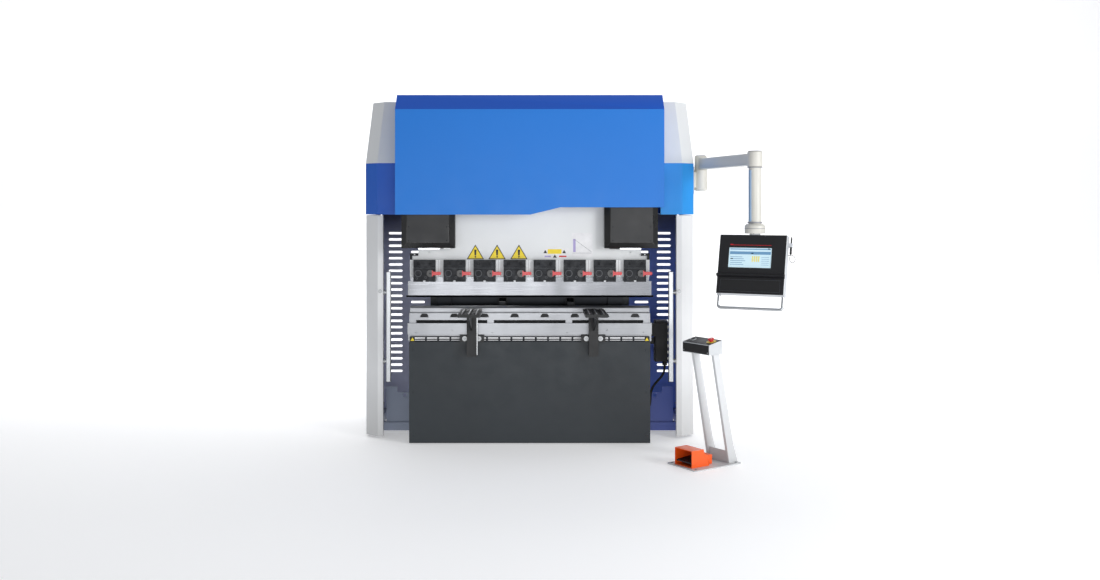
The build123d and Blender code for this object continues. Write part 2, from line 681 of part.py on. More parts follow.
def side_bands():
    """Coloured housings beside the hood, slightly proud of the doors below."""
    outer = wing_outer + BAND_PROUD / 2
    front = wing_front - BAND_PROUD
    path = wing_plan(front, outer, outer - column_chamfer)
    skin = prism_z(bent_sheet(path, SHEET), band_bottom, band_top)
    floor = prism_z([*path, (hood_half + 1, wing_rear)], band_bottom, band_bottom + SHEET)
    rear = block(hood_half + 1, outer, wing_rear - SHEET, wing_rear, band_bottom, band_top)
    save("side_bands", *both_sides(skin + floor + rear))


def upper_side_covers():
    """White upper housings that lean back above the bands."""
    lean_in = 30.0
    front, outer = wing_front - BAND_PROUD, wing_outer + BAND_PROUD / 2

    def body(t):
        x_in = hood_half + 1 + t
        lower = [(x_in, front + t), (outer - column_chamfer - 0.4 * t, front + t),
                 (outer - t, front + column_chamfer + 0.4 * t), (outer - t, wing_rear - t), (x_in, wing_rear - t)]
        upper = [(x_in, front + WING_LEAN + t), (outer - column_chamfer - lean_in - 0.4 * t, front + WING_LEAN + t),
                 (outer - lean_in - t, front + WING_LEAN + column_chamfer + 0.4 * t),
                 (outer - lean_in - t, wing_rear - t), (x_in, wing_rear - t)]
        faces = [
            Pos(0, 0, z) * make_face(Polyline(*points, close=True))
            for points, z in ((lower, band_top - (1 if t else 0)), (upper, cover_top - t))
        ]
        return loft(faces, ruled=True)

    save("upper_side_covers", *both_sides(body(0) - body(SHEET)))


# ---------------------------------------------------------------- side guards
hinge_x = wing_outer + 10.0
hinge_y = wing_rear + 14.0
door_bottom = DOOR_FLOOR_GAP
hinge_heights = [door_bottom + 120, (door_bottom + door_top) / 2, door_top - 180]
hinge_pin_r = 5.0
hinge_knuckle_r = 9.0
knuckle_height = 60.0


def side_door(side):
    """Folded door: a column at the front, a chamfer and a long side wall, hinged at its rear edge."""
    path = [
        (column_inner + 18, wing_front + 40), (column_inner, wing_front + 40), (column_inner, wing_front),
        (column_inner + COLUMN_FACE, wing_front), (wing_outer, wing_front + column_chamfer),
        (wing_outer, wing_rear),
    ]
    door = prism_z(bent_sheet(path, DOOR_SHEET), door_bottom, door_top)
    for z in hinge_heights:
        leaf = block(wing_outer - 1, hinge_x, wing_rear - 30, wing_rear - 27, z, z + knuckle_height)
        leaf += block(hinge_x - 1.5, hinge_x + 1.5, wing_rear - 30, hinge_y, z, z + knuckle_height)
        knuckle = cyl_z(hinge_x, hinge_y, z, z + knuckle_height, hinge_knuckle_r)
        door += leaf + knuckle
        door -= cyl_z(hinge_x, hinge_y, z - 1, z + knuckle_height + 1, hinge_pin_r + RUNNING)
    name = "right" if side > 0 else "left"
    save(f"side_door_{name}", door if side > 0 else mirror(door, Plane.YZ))


handle_x = column_inner - 36.0
handle_y = wing_front + 20.0


def door_handle(side):
    """Rounded square bar on two stand-offs from the inner edge of the door."""
    top = HANDLE_BOTTOM + HANDLE_LENGTH
    bar = block(handle_x - HANDLE_HALF, handle_x + HANDLE_HALF, handle_y - HANDLE_HALF, handle_y + HANDLE_HALF,
                HANDLE_BOTTOM, top)
    bar = fillet(bar.edges().filter_by(Axis.Z), 6)
    for z in (HANDLE_BOTTOM + 138, top - 138):
        bar += cyl_x(handle_x, column_inner, handle_y, z, 12)
    name = "right" if side > 0 else "left"
    save(f"door_handle_{name}", bar if side > 0 else mirror(bar, Plane.YZ))


panel_front = wing_rear + 3.0
panel_outer = wing_outer - 12.0
panel_bottom = 60.0


def slotted_panels():
    """Rear guard sheets with two columns of ventilation slots."""
    span = panel_outer - frame_outer
    sheet = block(frame_outer, panel_outer, panel_front, panel_front + SHEET, panel_bottom, door_top)
    first = door_top - 142
    for share in (0.35, 0.755):
        x = frame_outer + span * share
        for row in range(SLOT_ROWS):
            z = first - row * SLOT_PITCH
            sheet -= extrude(
                Plane(origin=(x, panel_front - 1, z), x_dir=(1, 0, 0), z_dir=(0, 1, 0)) * SlotOverall(103, 17),
                SHEET + 2,
            )
    save("slotted_panels", *both_sides(sheet))


sill_front = wing_front + SILL_Y
post_front = panel_front + SHEET


def wing_base():
    """Sills on the floor, stepped gusset plate, rear post and the door's hinge pins."""
    outer = wing_outer - 12
    front = block(frame_outer, outer, sill_front, sill_front + SILL_DEPTH, 0, SILL_HEIGHT)
    side = block(outer - 45, outer, sill_front + SILL_DEPTH, panel_front, 0, SILL_HEIGHT)
    plate_outer = frame_outer + ANCHOR_OUT + FOOT_PLATE / 3
    rear = block(plate_outer, outer, panel_front, panel_front + 45, 0, SILL_HEIGHT)
    steps = [
        (frame_outer, SILL_HEIGHT), (hood_half + 124, SILL_HEIGHT), (hood_half + 124, 306),
        (hood_half + 47, 306), (hood_half + 47, 266), (frame_outer, 266),
    ]
    gusset = prism_y(steps, sill_front + 10, sill_front + 16)
    gusset -= cyl_y(hood_half - 6, sill_front, sill_front + 30, 245, 13)
    post = block(outer - 40, outer, post_front, post_front + 40, SILL_HEIGHT, cover_top - 60)
    pins = []
    for z in hinge_heights:
        arm = block(outer - 1, hinge_x + 7, hinge_y - 7, hinge_y + 13, z - 12, z - 0.5)
        pins.append(arm + cyl_z(hinge_x, hinge_y, z - 0.5, z + knuckle_height, hinge_pin_r))
    tie = block(frame_outer, outer - 40, post_front, post_front + 30, door_top - 60, door_top - 20)
    save("wing_base", *both_sides(front + side + rear + gusset + post + pins + tie))


# ---------------------------------------------------------------- junction box and its conduit
box_x, box_y, box_bottom = frame_outer + 228.0, -150.0, 487.0
gland_x = box_x + 25
cable_y = box_y + 18
frame_gland_z = 96.0


def junction_box():
    """Dark terminal box with a lid, on a bracket from the right side frame, and both cable glands."""
    rear = box_y + 90
    body = block(box_x - 46, box_x + 46, box_y, rear, box_bottom, box_bottom + 286)
    lid = block(box_x - 75, box_x + 44, box_y - 14, box_y + 40, box_bottom + 180, box_bottom + 270)
    bracket = block(frame_outer, box_x - 46, box_y + 40, rear, box_bottom + 120, box_bottom + 160)
    gland = cyl_z(gland_x, cable_y, box_bottom - 26, box_bottom, 17)
    gland -= cyl_z(gland_x, cable_y, box_bottom - 27, box_bottom - 16, CABLE_R)
    end = cyl_x(frame_outer, frame_outer + 26, cable_y, frame_gland_z, 17)
    end -= cyl_x(frame_outer + 16, frame_outer + 27, cable_y, frame_gland_z, CABLE_R)
    save("junction_box", fillet(body.edges().filter_by(Axis.Z), 6) + lid + bracket + gland, end)


def conduit():
    """Flexible conduit from the junction box down to the side frame."""
    y = cable_y
    points = [
        (gland_x, y, box_bottom - 16), (gland_x, y, 427), (gland_x - 17, y - 2, 386),
        (gland_x - 49, y - 5, 352), (gland_x - 81, y - 7, 316), (gland_x - 100, y - 9, 270),
        (gland_x - 101, y - 10, 215), (gland_x - 110, y - 8, 160), (gland_x - 140, y - 4, 118),
        (gland_x - 185, y, frame_gland_z), (frame_outer + 16, y, frame_gland_z),
    ]
    save("conduit", cord_tube("conduit", points, CABLE_R))


# ---------------------------------------------------------------- back gauge
gauge_y = tool_y + GAUGE_REST
gauge_rail_x = 420.0
gauge_rail_z = lower_jaw + 60.0
screw_z = gauge_rail_z + 60.0
beam_z = table_top + 50.0
beam_height = 98.0
beam_half = 540.0
finger_z = beam_z + 52.0
gauge_front = gauge_y - 90.0
gauge_back = frame_rear - 60.0
pads_x = [-gauge_rail_x, gauge_rail_x]


def backgauge_rails():
    """Two guide bars on a cross plate that is bolted to the rear tie, and the two screw bearings."""
    parts = block(-frame_inner, frame_inner, frame_rear - 160, gauge_back + 20, lower_jaw, lower_jaw + 24)
    parts += block(-frame_inner, frame_inner, gauge_front, gauge_front + 60, lower_jaw, lower_jaw + 24)
    for x in pads_x:
        parts += block(x - 20, x + 20, gauge_front, gauge_back, lower_jaw + 24, gauge_rail_z)
    parts += block(-40, 40, gauge_front, gauge_back, lower_jaw + 24, lower_jaw + 50)
    for y in (gauge_front, gauge_back - 24):
        bearing = block(-34, 34, y, y + 24, lower_jaw + 50, screw_z + 34)
        parts += bearing - cyl_y(0, y - 1, y + 25, screw_z, SCREW_R + RUNNING)
    motor = block(-45, 45, gauge_back, gauge_back + 30, lower_jaw + 24, screw_z + 45)
    motor -= cyl_y(0, gauge_back - 1, gauge_back + 20, screw_z, SCREW_R + 4)
    save("backgauge_rails", parts + motor)


def backgauge_beam():
    """Cross beam with two saddles on the guide bars and a nut bracket round the screw."""
    beam = block(-beam_half, beam_half, gauge_y, gauge_y + 60, beam_z, beam_z + beam_height)
    for side in (-1, 1):
        a, b = sorted((side * beam_half, side * (frame_inner - 8)))
        beam += block(a, b, gauge_y - 20, gauge_y + 80, beam_z - 14, beam_z + beam_height + 8)
    for x in pads_x:
        saddle = block(x - 40, x + 40, gauge_y, gauge_y + 100, gauge_rail_z - 30, beam_z - 30)
        saddle += block(x - 40, x + 40, gauge_y, gauge_y + 60, beam_z - 30, beam_z)
        saddle -= block(x - 20 - SLIDING, x + 20 + SLIDING, gauge_y - 1, gauge_y + 101,
                        gauge_rail_z - 31, gauge_rail_z + SLIDING)
        beam += saddle
    nut = block(-30, 30, gauge_y + 5, gauge_y + 45, screw_z - 26, beam_z)
    save("backgauge_beam", beam + nut - cyl_y(0, gauge_y, gauge_y + 50, screw_z, SCREW_R + 0.3))


def ball_screw():
    """Screw between its bearings, with a collar in front of each."""
    screw = cyl_y(0, gauge_front - 14, gauge_back + 10, screw_z, SCREW_R)
    screw += cyl_y(0, gauge_front - 14, gauge_front - 1, screw_z, SCREW_R + 8)
    screw += cyl_y(0, gauge_back - 40, gauge_back - 25, screw_z, SCREW_R + 8)
    save("ball_screw", screw)


def finger(name, x):
    """Carriage that hooks over the beam, and a stop finger that reaches towards the dies."""
    top = beam_z + beam_height
    gap = SLIDING
    body = block(x - 35, x + 35, gauge_y - 30, gauge_y + 90, beam_z - 18, top + 22)
    body -= block(x - 36, x + 36, gauge_y - gap, gauge_y + 60 + gap, beam_z - 19, top + gap)
    arm = prism_x([
        (gauge_y - 30, finger_z + 40), (gauge_y - 30, finger_z - 34), (gauge_y - 60, finger_z - 22),
        (gauge_y - 150, finger_z - 10), (gauge_y - 156, finger_z - 2), (gauge_y - 156, finger_z + 24),
        (gauge_y - 128, finger_z + 26), (gauge_y - 118, finger_z + 14), (gauge_y - 80, finger_z + 16),
        (gauge_y - 52, finger_z + 34),
    ], x - 24, x + 24)
    save(name, body + arm)


# ---------------------------------------------------------------- front sheet supports
def support_arm(name, x):
    """Carriage on the front rail, a post and a table arm that reaches forward."""
    face = rail_back - rail_depth
    carriage = block(x - 80, x + 80, face - 24, face - SLIDING, BED_HEIGHT + SLIDING, seat_top + 2)
    carriage += block(x - 80, x + 80, face - 24, rail_back - 10, BED_HEIGHT + rail_height + SLIDING, seat_top + 2)
    for side in (-1, 1):
        carriage += cyl_y(x + side * 47, face - 30, face - 24, BED_HEIGHT + 24, 18)
    post = block(x - 31, x + 31, face - 70, face - 24, BED_HEIGHT - 90, die_top - 30)
    top = block(x - 70, x + 70, face - 20 - ARM_LENGTH, face - 24, die_top - 30, die_top - 12)
    web = prism_x([
        (face - 70, die_top - 30), (face - 70, die_top - 150), (face - 40 - ARM_LENGTH, die_top - 44),
        (face - 40 - ARM_LENGTH, die_top - 30),
    ], x - 4, x + 4)
    strips = [
        block(x + dx - 12, x + dx + 12, face - 12 - ARM_LENGTH, face - 40, die_top - 12, die_top - 6)
        for dx in (-45, 0, 45)
    ]
    save(name, carriage + post + top + web + strips)


# ---------------------------------------------------------------- control pendant
pivot_x, pivot_y = wing_outer + 70.0, -198.0
boom_half = 38.0
pivot_r = 20.0
tube_x = pivot_x + BOOM_LENGTH * sin(radians(BOOM_ANGLE))
tube_y = pivot_y - BOOM_LENGTH * cos(radians(BOOM_ANGLE))
tube_r = 39.5
tube_bottom = BOOM_Z - 403.0
flange_bottom = tube_bottom - 58.0
box_top = flange_bottom - 4.0
spigot_r = 18.0
grip_half = BOX_W / 2 - 12.0
stylus_x, stylus_y = BOX_W / 2 + 22, -BOX_D / 2 + 16
pen_top, pen_clip, pen_bottom = -5.0, -60.0, -115.0
pen_r = 4.6
boom_place = Pos(pivot_x, pivot_y, BOOM_Z) * Rot(0, 0, BOOM_ANGLE)
pendant_place = Pos(tube_x, tube_y, box_top - 14) * Rot(0, 0, PENDANT_YAW) * Rot(-PENDANT_TILT, 0, 0)


def pendant_bracket():
    """Wall plate on the right housing, with a round pot whose pivot pin carries the boom."""
    wall = wing_outer + BAND_PROUD / 2
    pot_top = BOOM_Z - boom_half - 1
    pot_bottom = pot_top - 148
    plate = block(wall, wall + 12, pivot_y - 70, pivot_y + 70, pot_bottom - 20, pot_top + 20)
    arm = block(wall + 12, pivot_x, pivot_y - 30, pivot_y + 30, pot_bottom + 24, pot_top - 16)
    pot = cyl_z(pivot_x, pivot_y, pot_bottom, pot_top, 46)
    pot = fillet(pot.edges().filter_by(GeomType.CIRCLE).sort_by(Axis.Z)[0], 18)
    pin = cyl_z(pivot_x, pivot_y, pot_top, BOOM_Z + boom_half, pivot_r)
    save("pendant_bracket", plate + arm + pot + pin)


def pendant_arm():
    """Level boom, elbow, drop tube and the bearing flange at its lower end."""
    eye = cyl_z(0, 0, -boom_half, boom_half + 18, 42) + block(-30, 30, -80, 0, -boom_half, boom_half)
    beam = block(-boom_half, boom_half, -BOOM_LENGTH, -80, -boom_half, boom_half)
    beam = fillet(beam.edges().filter_by(Axis.Y), 10)
    boom = eye + beam - cyl_z(0, 0, -boom_half - 1, boom_half + 1, pivot_r + RUNNING)
    boom = boom_place * boom
    elbow = cyl_z(tube_x, tube_y, BOOM_Z - 48, BOOM_Z + 50, 47)
    elbow = fillet(elbow.edges().filter_by(GeomType.CIRCLE), 8)
    tube = cyl_z(tube_x, tube_y, tube_bottom, BOOM_Z - 40, tube_r)
    flange = cyl_z(tube_x, tube_y, flange_bottom, tube_bottom + 1, 63.5)
    flange = chamfer(flange.edges().filter_by(GeomType.CIRCLE).sort_by(Axis.Z)[-1], 12)
    arm = boom + elbow + tube + flange
    save("pendant_arm", arm - cyl_z(tube_x, tube_y, flange_bottom - 1, flange_bottom + 46, spigot_r + RUNNING))


def pendant_box():
    """Tilted control housing with a recessed screen, a ledge and a raised lower panel."""
    half, depth = BOX_W / 2, BOX_D / 2
    body = block(-half, half, -depth, depth, -BOX_H, 0)
    body = chamfer(body.edges().filter_by(Axis.Z).sort_by(Axis.Y)[-2:], 20)
    body = fillet(body.edges().filter_by(Axis.Z).sort_by(Axis.Y)[:2], 6)
    body -= block(-SCREEN_W / 2 - 12, SCREEN_W / 2 - 12, -depth - 1, -depth + 4, -82 - SCREEN_H, -82)
    ledge = prism_x([
        (-depth, -244), (-depth - 22, -252), (-depth - 22, -262), (-depth, -270),
    ], -half, half)
    panel = block(-half + 24, half - 24, -depth - 5, -depth, -BOX_H + 10, -280)
    lugs = [block(x - 10, x + 10, -14, 14, -BOX_H - 8, -BOX_H) for x in (-grip_half, grip_half)]
    clip = block(half, stylus_x + 9, stylus_y - 10, stylus_y + 10, pen_clip - 12, pen_clip + 12)
    stylus_hole = cyl_z(stylus_x, stylus_y, pen_clip - 13, pen_clip + 13, pen_r + SLIDING)
    housing = pendant_place * (body + ledge + panel + lugs + clip - stylus_hole)
    neck = cyl_z(tube_x, tube_y, box_top - 40, flange_bottom - 0.5, 33)
    spigot = cyl_z(tube_x, tube_y, flange_bottom - 2, flange_bottom + 44, spigot_r)
    save("pendant_box", housing + neck + spigot)


def pendant_grip():
    """U-shaped bar under the control box."""
    z0 = -BOX_H - 8
    z1 = z0 - 76
    route = [(-grip_half, 0, z0), (-grip_half, 0, z1), (grip_half, 0, z1), (grip_half, 0, z0)]
    bar = tube_path(route, [16, 16], 9)
    save("pendant_grip", pendant_place * bar)


def stylus():
    """Touch pen that stands in the clip on the side of the box, tip up."""
    pen = cyl_z(stylus_x, stylus_y, pen_bottom, pen_top - 12, pen_r)
    pen += cyl_z(stylus_x, stylus_y, pen_bottom, pen_clip - 12, pen_r + 2)
    pen += Pos(stylus_x, stylus_y, pen_top - 6) * Cone(pen_r, 1.5, 12)
    save("stylus", pendant_place * pen)


def stylus_cord():
    """Thin cord that hangs in a loop between the pen's lower end and the side of the box."""
    x, y, z = stylus_x, stylus_y, pen_bottom
    points = [
        (x, y, z), (x - 5, y + 2, z - 17), (x - 6, y + 4, z - 35), (x + 3, y + 6, z - 50),
        (x + 18, y + 8, z - 51), (x + 27, y + 11, z - 37), (x + 26, y + 14, z - 19),
        (x + 14, y + 17, z - 4), (x - 4, y + 20, z), (BOX_W / 2, y + 20, z - 4),
    ]
    save("stylus_cord", pendant_place * cord_tube("stylus cord", points, STYLUS_CORD_R))


# ---------------------------------------------------------------- foot-switch stand
station_place = Pos(STATION_X, STATION_Y, 0) * Rot(0, 0, STATION_YAW)
base_half_w, base_half_l = STATION_BASE_W / 2, STATION_BASE_L / 2
switch_box_half = 118.0
switch_box_depth = 108.0
switch_box_height = 86.0
leg_top_y = base_half_l - 40 - STATION_LEAN
panel_y = leg_top_y - 63.0


def station_stand():
    """Base plate with raised rim and two leaning legs joined by a low cross bar."""
    base = block(-base_half_w, base_half_w, -base_half_l, base_half_l, 0, 8)
    base = chamfer(base.edges().filter_by(Axis.Z), 12)
    legs = []
    for x in (-88, 88):
        legs.append(prism_x([
            (base_half_l - 78, 8), (base_half_l - 6, 8), (base_half_l - 48, 130), (leg_top_y + 20, STATION_HEIGHT),
            (leg_top_y - 30, STATION_HEIGHT),
        ], x - 10, x + 10))
    cross = block(-78, 78, base_half_l - 76, base_half_l - 70, 8, 78)
    save("station_stand", station_place * (base + legs + cross))


box_slope = 24.0


def station_box():
    """Switch box with a sloping top, and a hole for each button's stem."""
    y0, y1 = panel_y - 20, panel_y - 20 + switch_box_depth
    z0, z1 = STATION_HEIGHT, STATION_HEIGHT + switch_box_height
    outline = [(y0, z0), (y1, z0), (y1, z1), (y0, z1 - box_slope)]
    body = prism_x(outline, -switch_box_half, switch_box_half)
    cavity = prism_x([
        (y0 + 4, z0 + 4), (y1 - 4, z0 + 4), (y1 - 4, z1 - 6), (y0 + 4, z1 - box_slope - 6),
    ], -switch_box_half + 4, switch_box_half - 4)
    body -= cavity
    for x, r in ((-80, 9.5), (80, 12.5)):
        body -= button_place(x) * Cylinder(r, 40)
    collar = button_place(80) * (Pos(0, 0, 1.5) * Cylinder(24, 3) - Cylinder(12.5, 12))
    ring = button_place(-80) * (Pos(0, 0, 2) * Cylinder(18, 4) - Cylinder(14.5, 12))
    save("station_box", station_place * (body + collar + ring))


def button_place(x):
    """Centre of a button hole on the sloping top, Z along the button's stem."""
    slope = degrees(atan2(box_slope, switch_box_depth))
    y = panel_y - 20 + switch_box_depth / 2
    z = STATION_HEIGHT + switch_box_height - box_slope / 2
    return Pos(x, y, z) * Rot(slope, 0, 0)


def buttons():
    """Mushroom stop button and flush start button, each free to travel on its stem."""
    mushroom = Pos(0, 0, 20) * Cylinder(19, 12) + Pos(0, 0, 2) * Cylinder(12, 26)
    mushroom = fillet(mushroom.edges().filter_by(GeomType.CIRCLE).sort_by(Axis.Z)[-1], 5)
    start = Pos(0, 0, 5.5) * Cylinder(14, 5) + Pos(0, 0, -5) * Cylinder(9, 18)
    save("estop_button", station_place * button_place(80) * mushroom)
    save("start_button", station_place * button_place(-80) * start)


guard_half = 76.0
guard_height = 111.0
guard_front = -base_half_l + 22
guard_length = 141.0
pedal_pivot_y = guard_front + guard_length - 16
pedal_pivot_z = 40.0
pedal_pin_r = 4.0
pedal_half = guard_half - 10.0


def foot_switch():
    """Guard shell over the pedal, open at the front, with the switch body at its rear."""
    y0, y1 = guard_front, guard_front + guard_length
    step_y = y1 - 44
    shell = prism_x([
        (y0, 8), (y1, 8), (y1, 70), (step_y + 6, 84), (step_y, guard_height), (y0, guard_height),
    ], -guard_half, guard_half)
    shell -= prism_x([
        (y0 - 1, 12), (y1 - 4, 12), (y1 - 4, 67), (step_y + 2, 81), (step_y - 4, guard_height - 4),
        (y0 - 1, guard_height - 4),
    ], -guard_half + 4, guard_half - 4)
    body = block(-46, 46, y1, y1 + 52, 8, 64)
    pin = cyl_x(-guard_half + 3, guard_half - 3, pedal_pivot_y, pedal_pivot_z, pedal_pin_r)
    save("foot_switch", station_place * (shell + pin), station_place * body)


def foot_pedal():
    """Tread plate that hinges on the pin at the rear of the guard."""
    tread = prism_x([
        (guard_front + 8, 30), (guard_front + 8, 38), (pedal_pivot_y, pedal_pivot_z + 10),
        (pedal_pivot_y, pedal_pivot_z - 2),
    ], -pedal_half, pedal_half)
    hub = cyl_x(-pedal_half, pedal_half, pedal_pivot_y, pedal_pivot_z, 10)
    bore = cyl_x(-pedal_half - 1, pedal_half + 1, pedal_pivot_y, pedal_pivot_z, pedal_pin_r + RUNNING)
    save("foot_pedal", station_place * (tread + hub - bore))


# ---------------------------------------------------------------- build
os.makedirs("parts", exist_ok=True)
for make in (
    side_frames, foot_plates, frame_ties, bed_beam, die_table, support_rail, crowning_wedges, die_holder,
    lower_die, ram_beam, punch, tool_clamps, piston_rods, cylinder_barrels, ram_guides, guide_blocks,
    oil_tank, pump_unit, hydraulic_lines, control_cabinet, cabinet_door, cylinder_covers, front_hood,
    side_bands, upper_side_covers, slotted_panels, wing_base, junction_box, conduit, backgauge_rails,
    backgauge_beam, ball_screw, pendant_bracket, pendant_arm, pendant_box, pendant_grip, stylus,
    stylus_cord, station_stand, station_box, buttons, foot_switch, foot_pedal,
):
    make()
for number, x in enumerate(clamp_x, 1):
    clamp_lever(number, x)
for side in (-1, 1):
    side_door(side)
    door_handle(side)
finger("finger_left", FINGER_LEFT_X)
finger("finger_right", FINGER_RIGHT_X)
support_arm("support_arm_left", ARM_LEFT_X)
support_arm("support_arm_right", ARM_RIGHT_X)
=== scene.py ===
"""Looks of a hydraulic press brake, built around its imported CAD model. Metres, in the CAD's frame."""
from math import atan2, cos, pi, radians, sin

import bmesh
import bpy
from mathutils import Matrix, Vector


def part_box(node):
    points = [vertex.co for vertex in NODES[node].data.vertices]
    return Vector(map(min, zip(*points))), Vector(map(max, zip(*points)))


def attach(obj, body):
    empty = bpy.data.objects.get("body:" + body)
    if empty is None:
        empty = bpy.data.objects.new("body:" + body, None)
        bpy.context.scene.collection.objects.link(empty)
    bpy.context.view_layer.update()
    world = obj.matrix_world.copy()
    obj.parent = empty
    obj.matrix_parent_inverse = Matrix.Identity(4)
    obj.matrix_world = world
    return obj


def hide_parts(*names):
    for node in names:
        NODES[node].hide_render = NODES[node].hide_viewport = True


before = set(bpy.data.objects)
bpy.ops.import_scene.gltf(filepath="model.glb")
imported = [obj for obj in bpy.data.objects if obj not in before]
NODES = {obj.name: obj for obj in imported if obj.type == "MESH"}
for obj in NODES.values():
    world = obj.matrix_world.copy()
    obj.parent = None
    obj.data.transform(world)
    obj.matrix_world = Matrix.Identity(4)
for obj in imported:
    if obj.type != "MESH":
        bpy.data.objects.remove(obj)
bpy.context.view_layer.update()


# ---------------------------------------------------------------- camera, lights and stage
def add_camera():
    """Level camera 7.75 m in front of the machine; the shift keeps its verticals upright."""
    data = bpy.data.cameras.new("camera")
    data.lens = 35.5
    data.sensor_width = 36.0
    data.shift_x = 0.01845
    data.shift_y = -0.0767
    data.clip_end = 60.0
    camera = bpy.data.objects.new("camera", data)
    camera.location = (0.0, -7.75, 1.58)
    camera.rotation_euler = (radians(90), 0, 0)
    bpy.context.collection.objects.link(camera)
    bpy.context.scene.camera = camera


def add_area(name, place, target, size, power):
    """White rectangular area light that faces its target."""
    data = bpy.data.lights.new(name, "AREA")
    data.shape = "RECTANGLE"
    data.size, data.size_y = size
    data.energy = power
    lamp = bpy.data.objects.new(name, data)
    lamp.location = place
    lamp.rotation_euler = (Vector(target) - Vector(place)).to_track_quat("-Z", "Y").to_euler()
    bpy.context.collection.objects.link(lamp)


def add_stage():
    """Pale floor that curves up into a pale backdrop far behind the machine."""
    mesh = bpy.data.meshes.new("stage_floor")
    half, front, rear, top = 14.0, -12.0, 9.0, 12.0
    bend, steps = 4.0, 12
    profile = [(front, 0.0), (rear, 0.0)]
    for i in range(1, steps + 1):
        turn = (pi / 2) * i / steps
        profile.append((rear + bend * sin(turn), bend * (1 - cos(turn))))
    profile.append((rear + bend, top))
    points = [(x, y, z) for y, z in profile for x in (-half, half)]
    faces = [(2 * i, 2 * i + 1, 2 * i + 3, 2 * i + 2) for i in range(len(profile) - 1)]
    mesh.from_pydata(points, [], faces)
    mesh.shade_smooth()
    floor = bpy.data.objects.new("stage_floor", mesh)
    bpy.context.collection.objects.link(floor)
    mat = bpy.data.materials.new("stage_paint")
    mat.use_nodes = True
    shader = mat.node_tree.nodes["Principled BSDF"]
    shader.inputs["Base Color"].default_value = (0.84, 0.84, 0.85, 1)
    shader.inputs["Roughness"].default_value = 0.7
    shader.inputs["Emission Color"].default_value = (1.0, 1.0, 1.0, 1)
    shader.inputs["Emission Strength"].default_value = 0.34
    mesh.materials.append(mat)


def add_light():
    """A key from the right front, a low front fill, and lights of their own for backdrop and floor."""
    world = bpy.data.worlds.new("studio")
    world.use_nodes = True
    world.node_tree.nodes["Background"].inputs["Color"].default_value = (0.93, 0.96, 1.0, 1)
    world.node_tree.nodes["Background"].inputs["Strength"].default_value = 0.34
    bpy.context.scene.world = world
    add_area("key", (5.4, -5.4, 2.6), (0.3, -0.3, 1.2), (2.4, 2.4), 235)
    add_area("front", (0.4, -8.8, 0.8), (0, 0, 1.2), (5.0, 1.0), 95)
    add_area("backdrop", (0.0, 3.5, 6.5), (0, 10.5, 2.4), (16.0, 2.0), 700)
    add_area("floor", (0.0, 3.0, 5.5), (0, 4.2, 0), (14.0, 3.0), 260)
    bpy.context.scene.view_settings.view_transform = "Standard"


add_camera()
add_light()
add_stage()


# ---------------------------------------------------------------- frames of the turned parts
# The boom's lower pivot line, which the control head hangs from.
DROP_X, DROP_Y = 1.403, -0.993
# The control head's own frame: X along its face, Y into the box, Z up its face, origin at its top.
HEAD = (Matrix.Translation((DROP_X, DROP_Y, 1.389)) @ Matrix.Rotation(radians(-27), 4, "Z")
        @ Matrix.Rotation(radians(-15), 4, "X"))
# The foot-switch stand's own frame, on the floor under its box, and the frame of its sloping pedal.
STATION = Matrix.Translation((1.068, -1.111, 0)) @ Matrix.Rotation(radians(-56), 4, "Z")
PEDAL = STATION @ Matrix.Translation((0, -0.163, 0.038)) @ Matrix.Rotation(atan2(0.012, 0.117), 4, "X")


# ---------------------------------------------------------------- cords
CONDUIT = [
    (0.948, -0.132, 0.471), (0.948, -0.132, 0.427), (0.931, -0.134, 0.386), (0.899, -0.137, 0.352),
    (0.867, -0.139, 0.316), (0.848, -0.141, 0.270), (0.847, -0.142, 0.215), (0.838, -0.140, 0.160),
    (0.808, -0.136, 0.118), (0.763, -0.132, 0.096), (0.711, -0.132, 0.096),
]
PEN_X, PEN_Y, PEN_BOTTOM = 0.234, -0.020, -0.115
PEN_LOOP = [
    (PEN_X, PEN_Y, PEN_BOTTOM), (PEN_X - 0.005, PEN_Y + 0.002, PEN_BOTTOM - 0.017),
    (PEN_X - 0.006, PEN_Y + 0.004, PEN_BOTTOM - 0.035), (PEN_X + 0.003, PEN_Y + 0.006, PEN_BOTTOM - 0.050),
    (PEN_X + 0.018, PEN_Y + 0.008, PEN_BOTTOM - 0.051), (PEN_X + 0.027, PEN_Y + 0.011, PEN_BOTTOM - 0.037),
    (PEN_X + 0.026, PEN_Y + 0.014, PEN_BOTTOM - 0.019), (PEN_X + 0.014, PEN_Y + 0.017, PEN_BOTTOM - 0.004),
    (PEN_X - 0.004, PEN_Y + 0.020, PEN_BOTTOM), (0.212, PEN_Y + 0.020, PEN_BOTTOM - 0.004),
]


def add_cord(name, points, radius, body):
    """Smooth tube on a NURBS line that has the route's points as its control points."""
    curve = bpy.data.curves.new(name, "CURVE")
    curve.dimensions = "3D"
    spline = curve.splines.new("NURBS")
    spline.points.add(len(points) - 1)
    for point, place in zip(spline.points, points):
        point.co = (*place, 1.0)
    spline.order_u = 3
    spline.use_endpoint_u = True
    spline.resolution_u = 12
    curve.bevel_depth = radius
    curve.bevel_resolution = 4
    curve.use_fill_caps = True
    made = bpy.data.objects.new(name, curve)
    bpy.context.collection.objects.link(made)
    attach(made, body)
    return made


conduit_cord = add_cord("conduit_cord", CONDUIT, 0.008, "frame")
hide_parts("conduit")

pen_points = [tuple(HEAD @ Vector(p)) for p in PEN_LOOP]
pen_cord = add_cord("pen_cord", pen_points, 0.0015, "control_head")
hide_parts("stylus_cord")


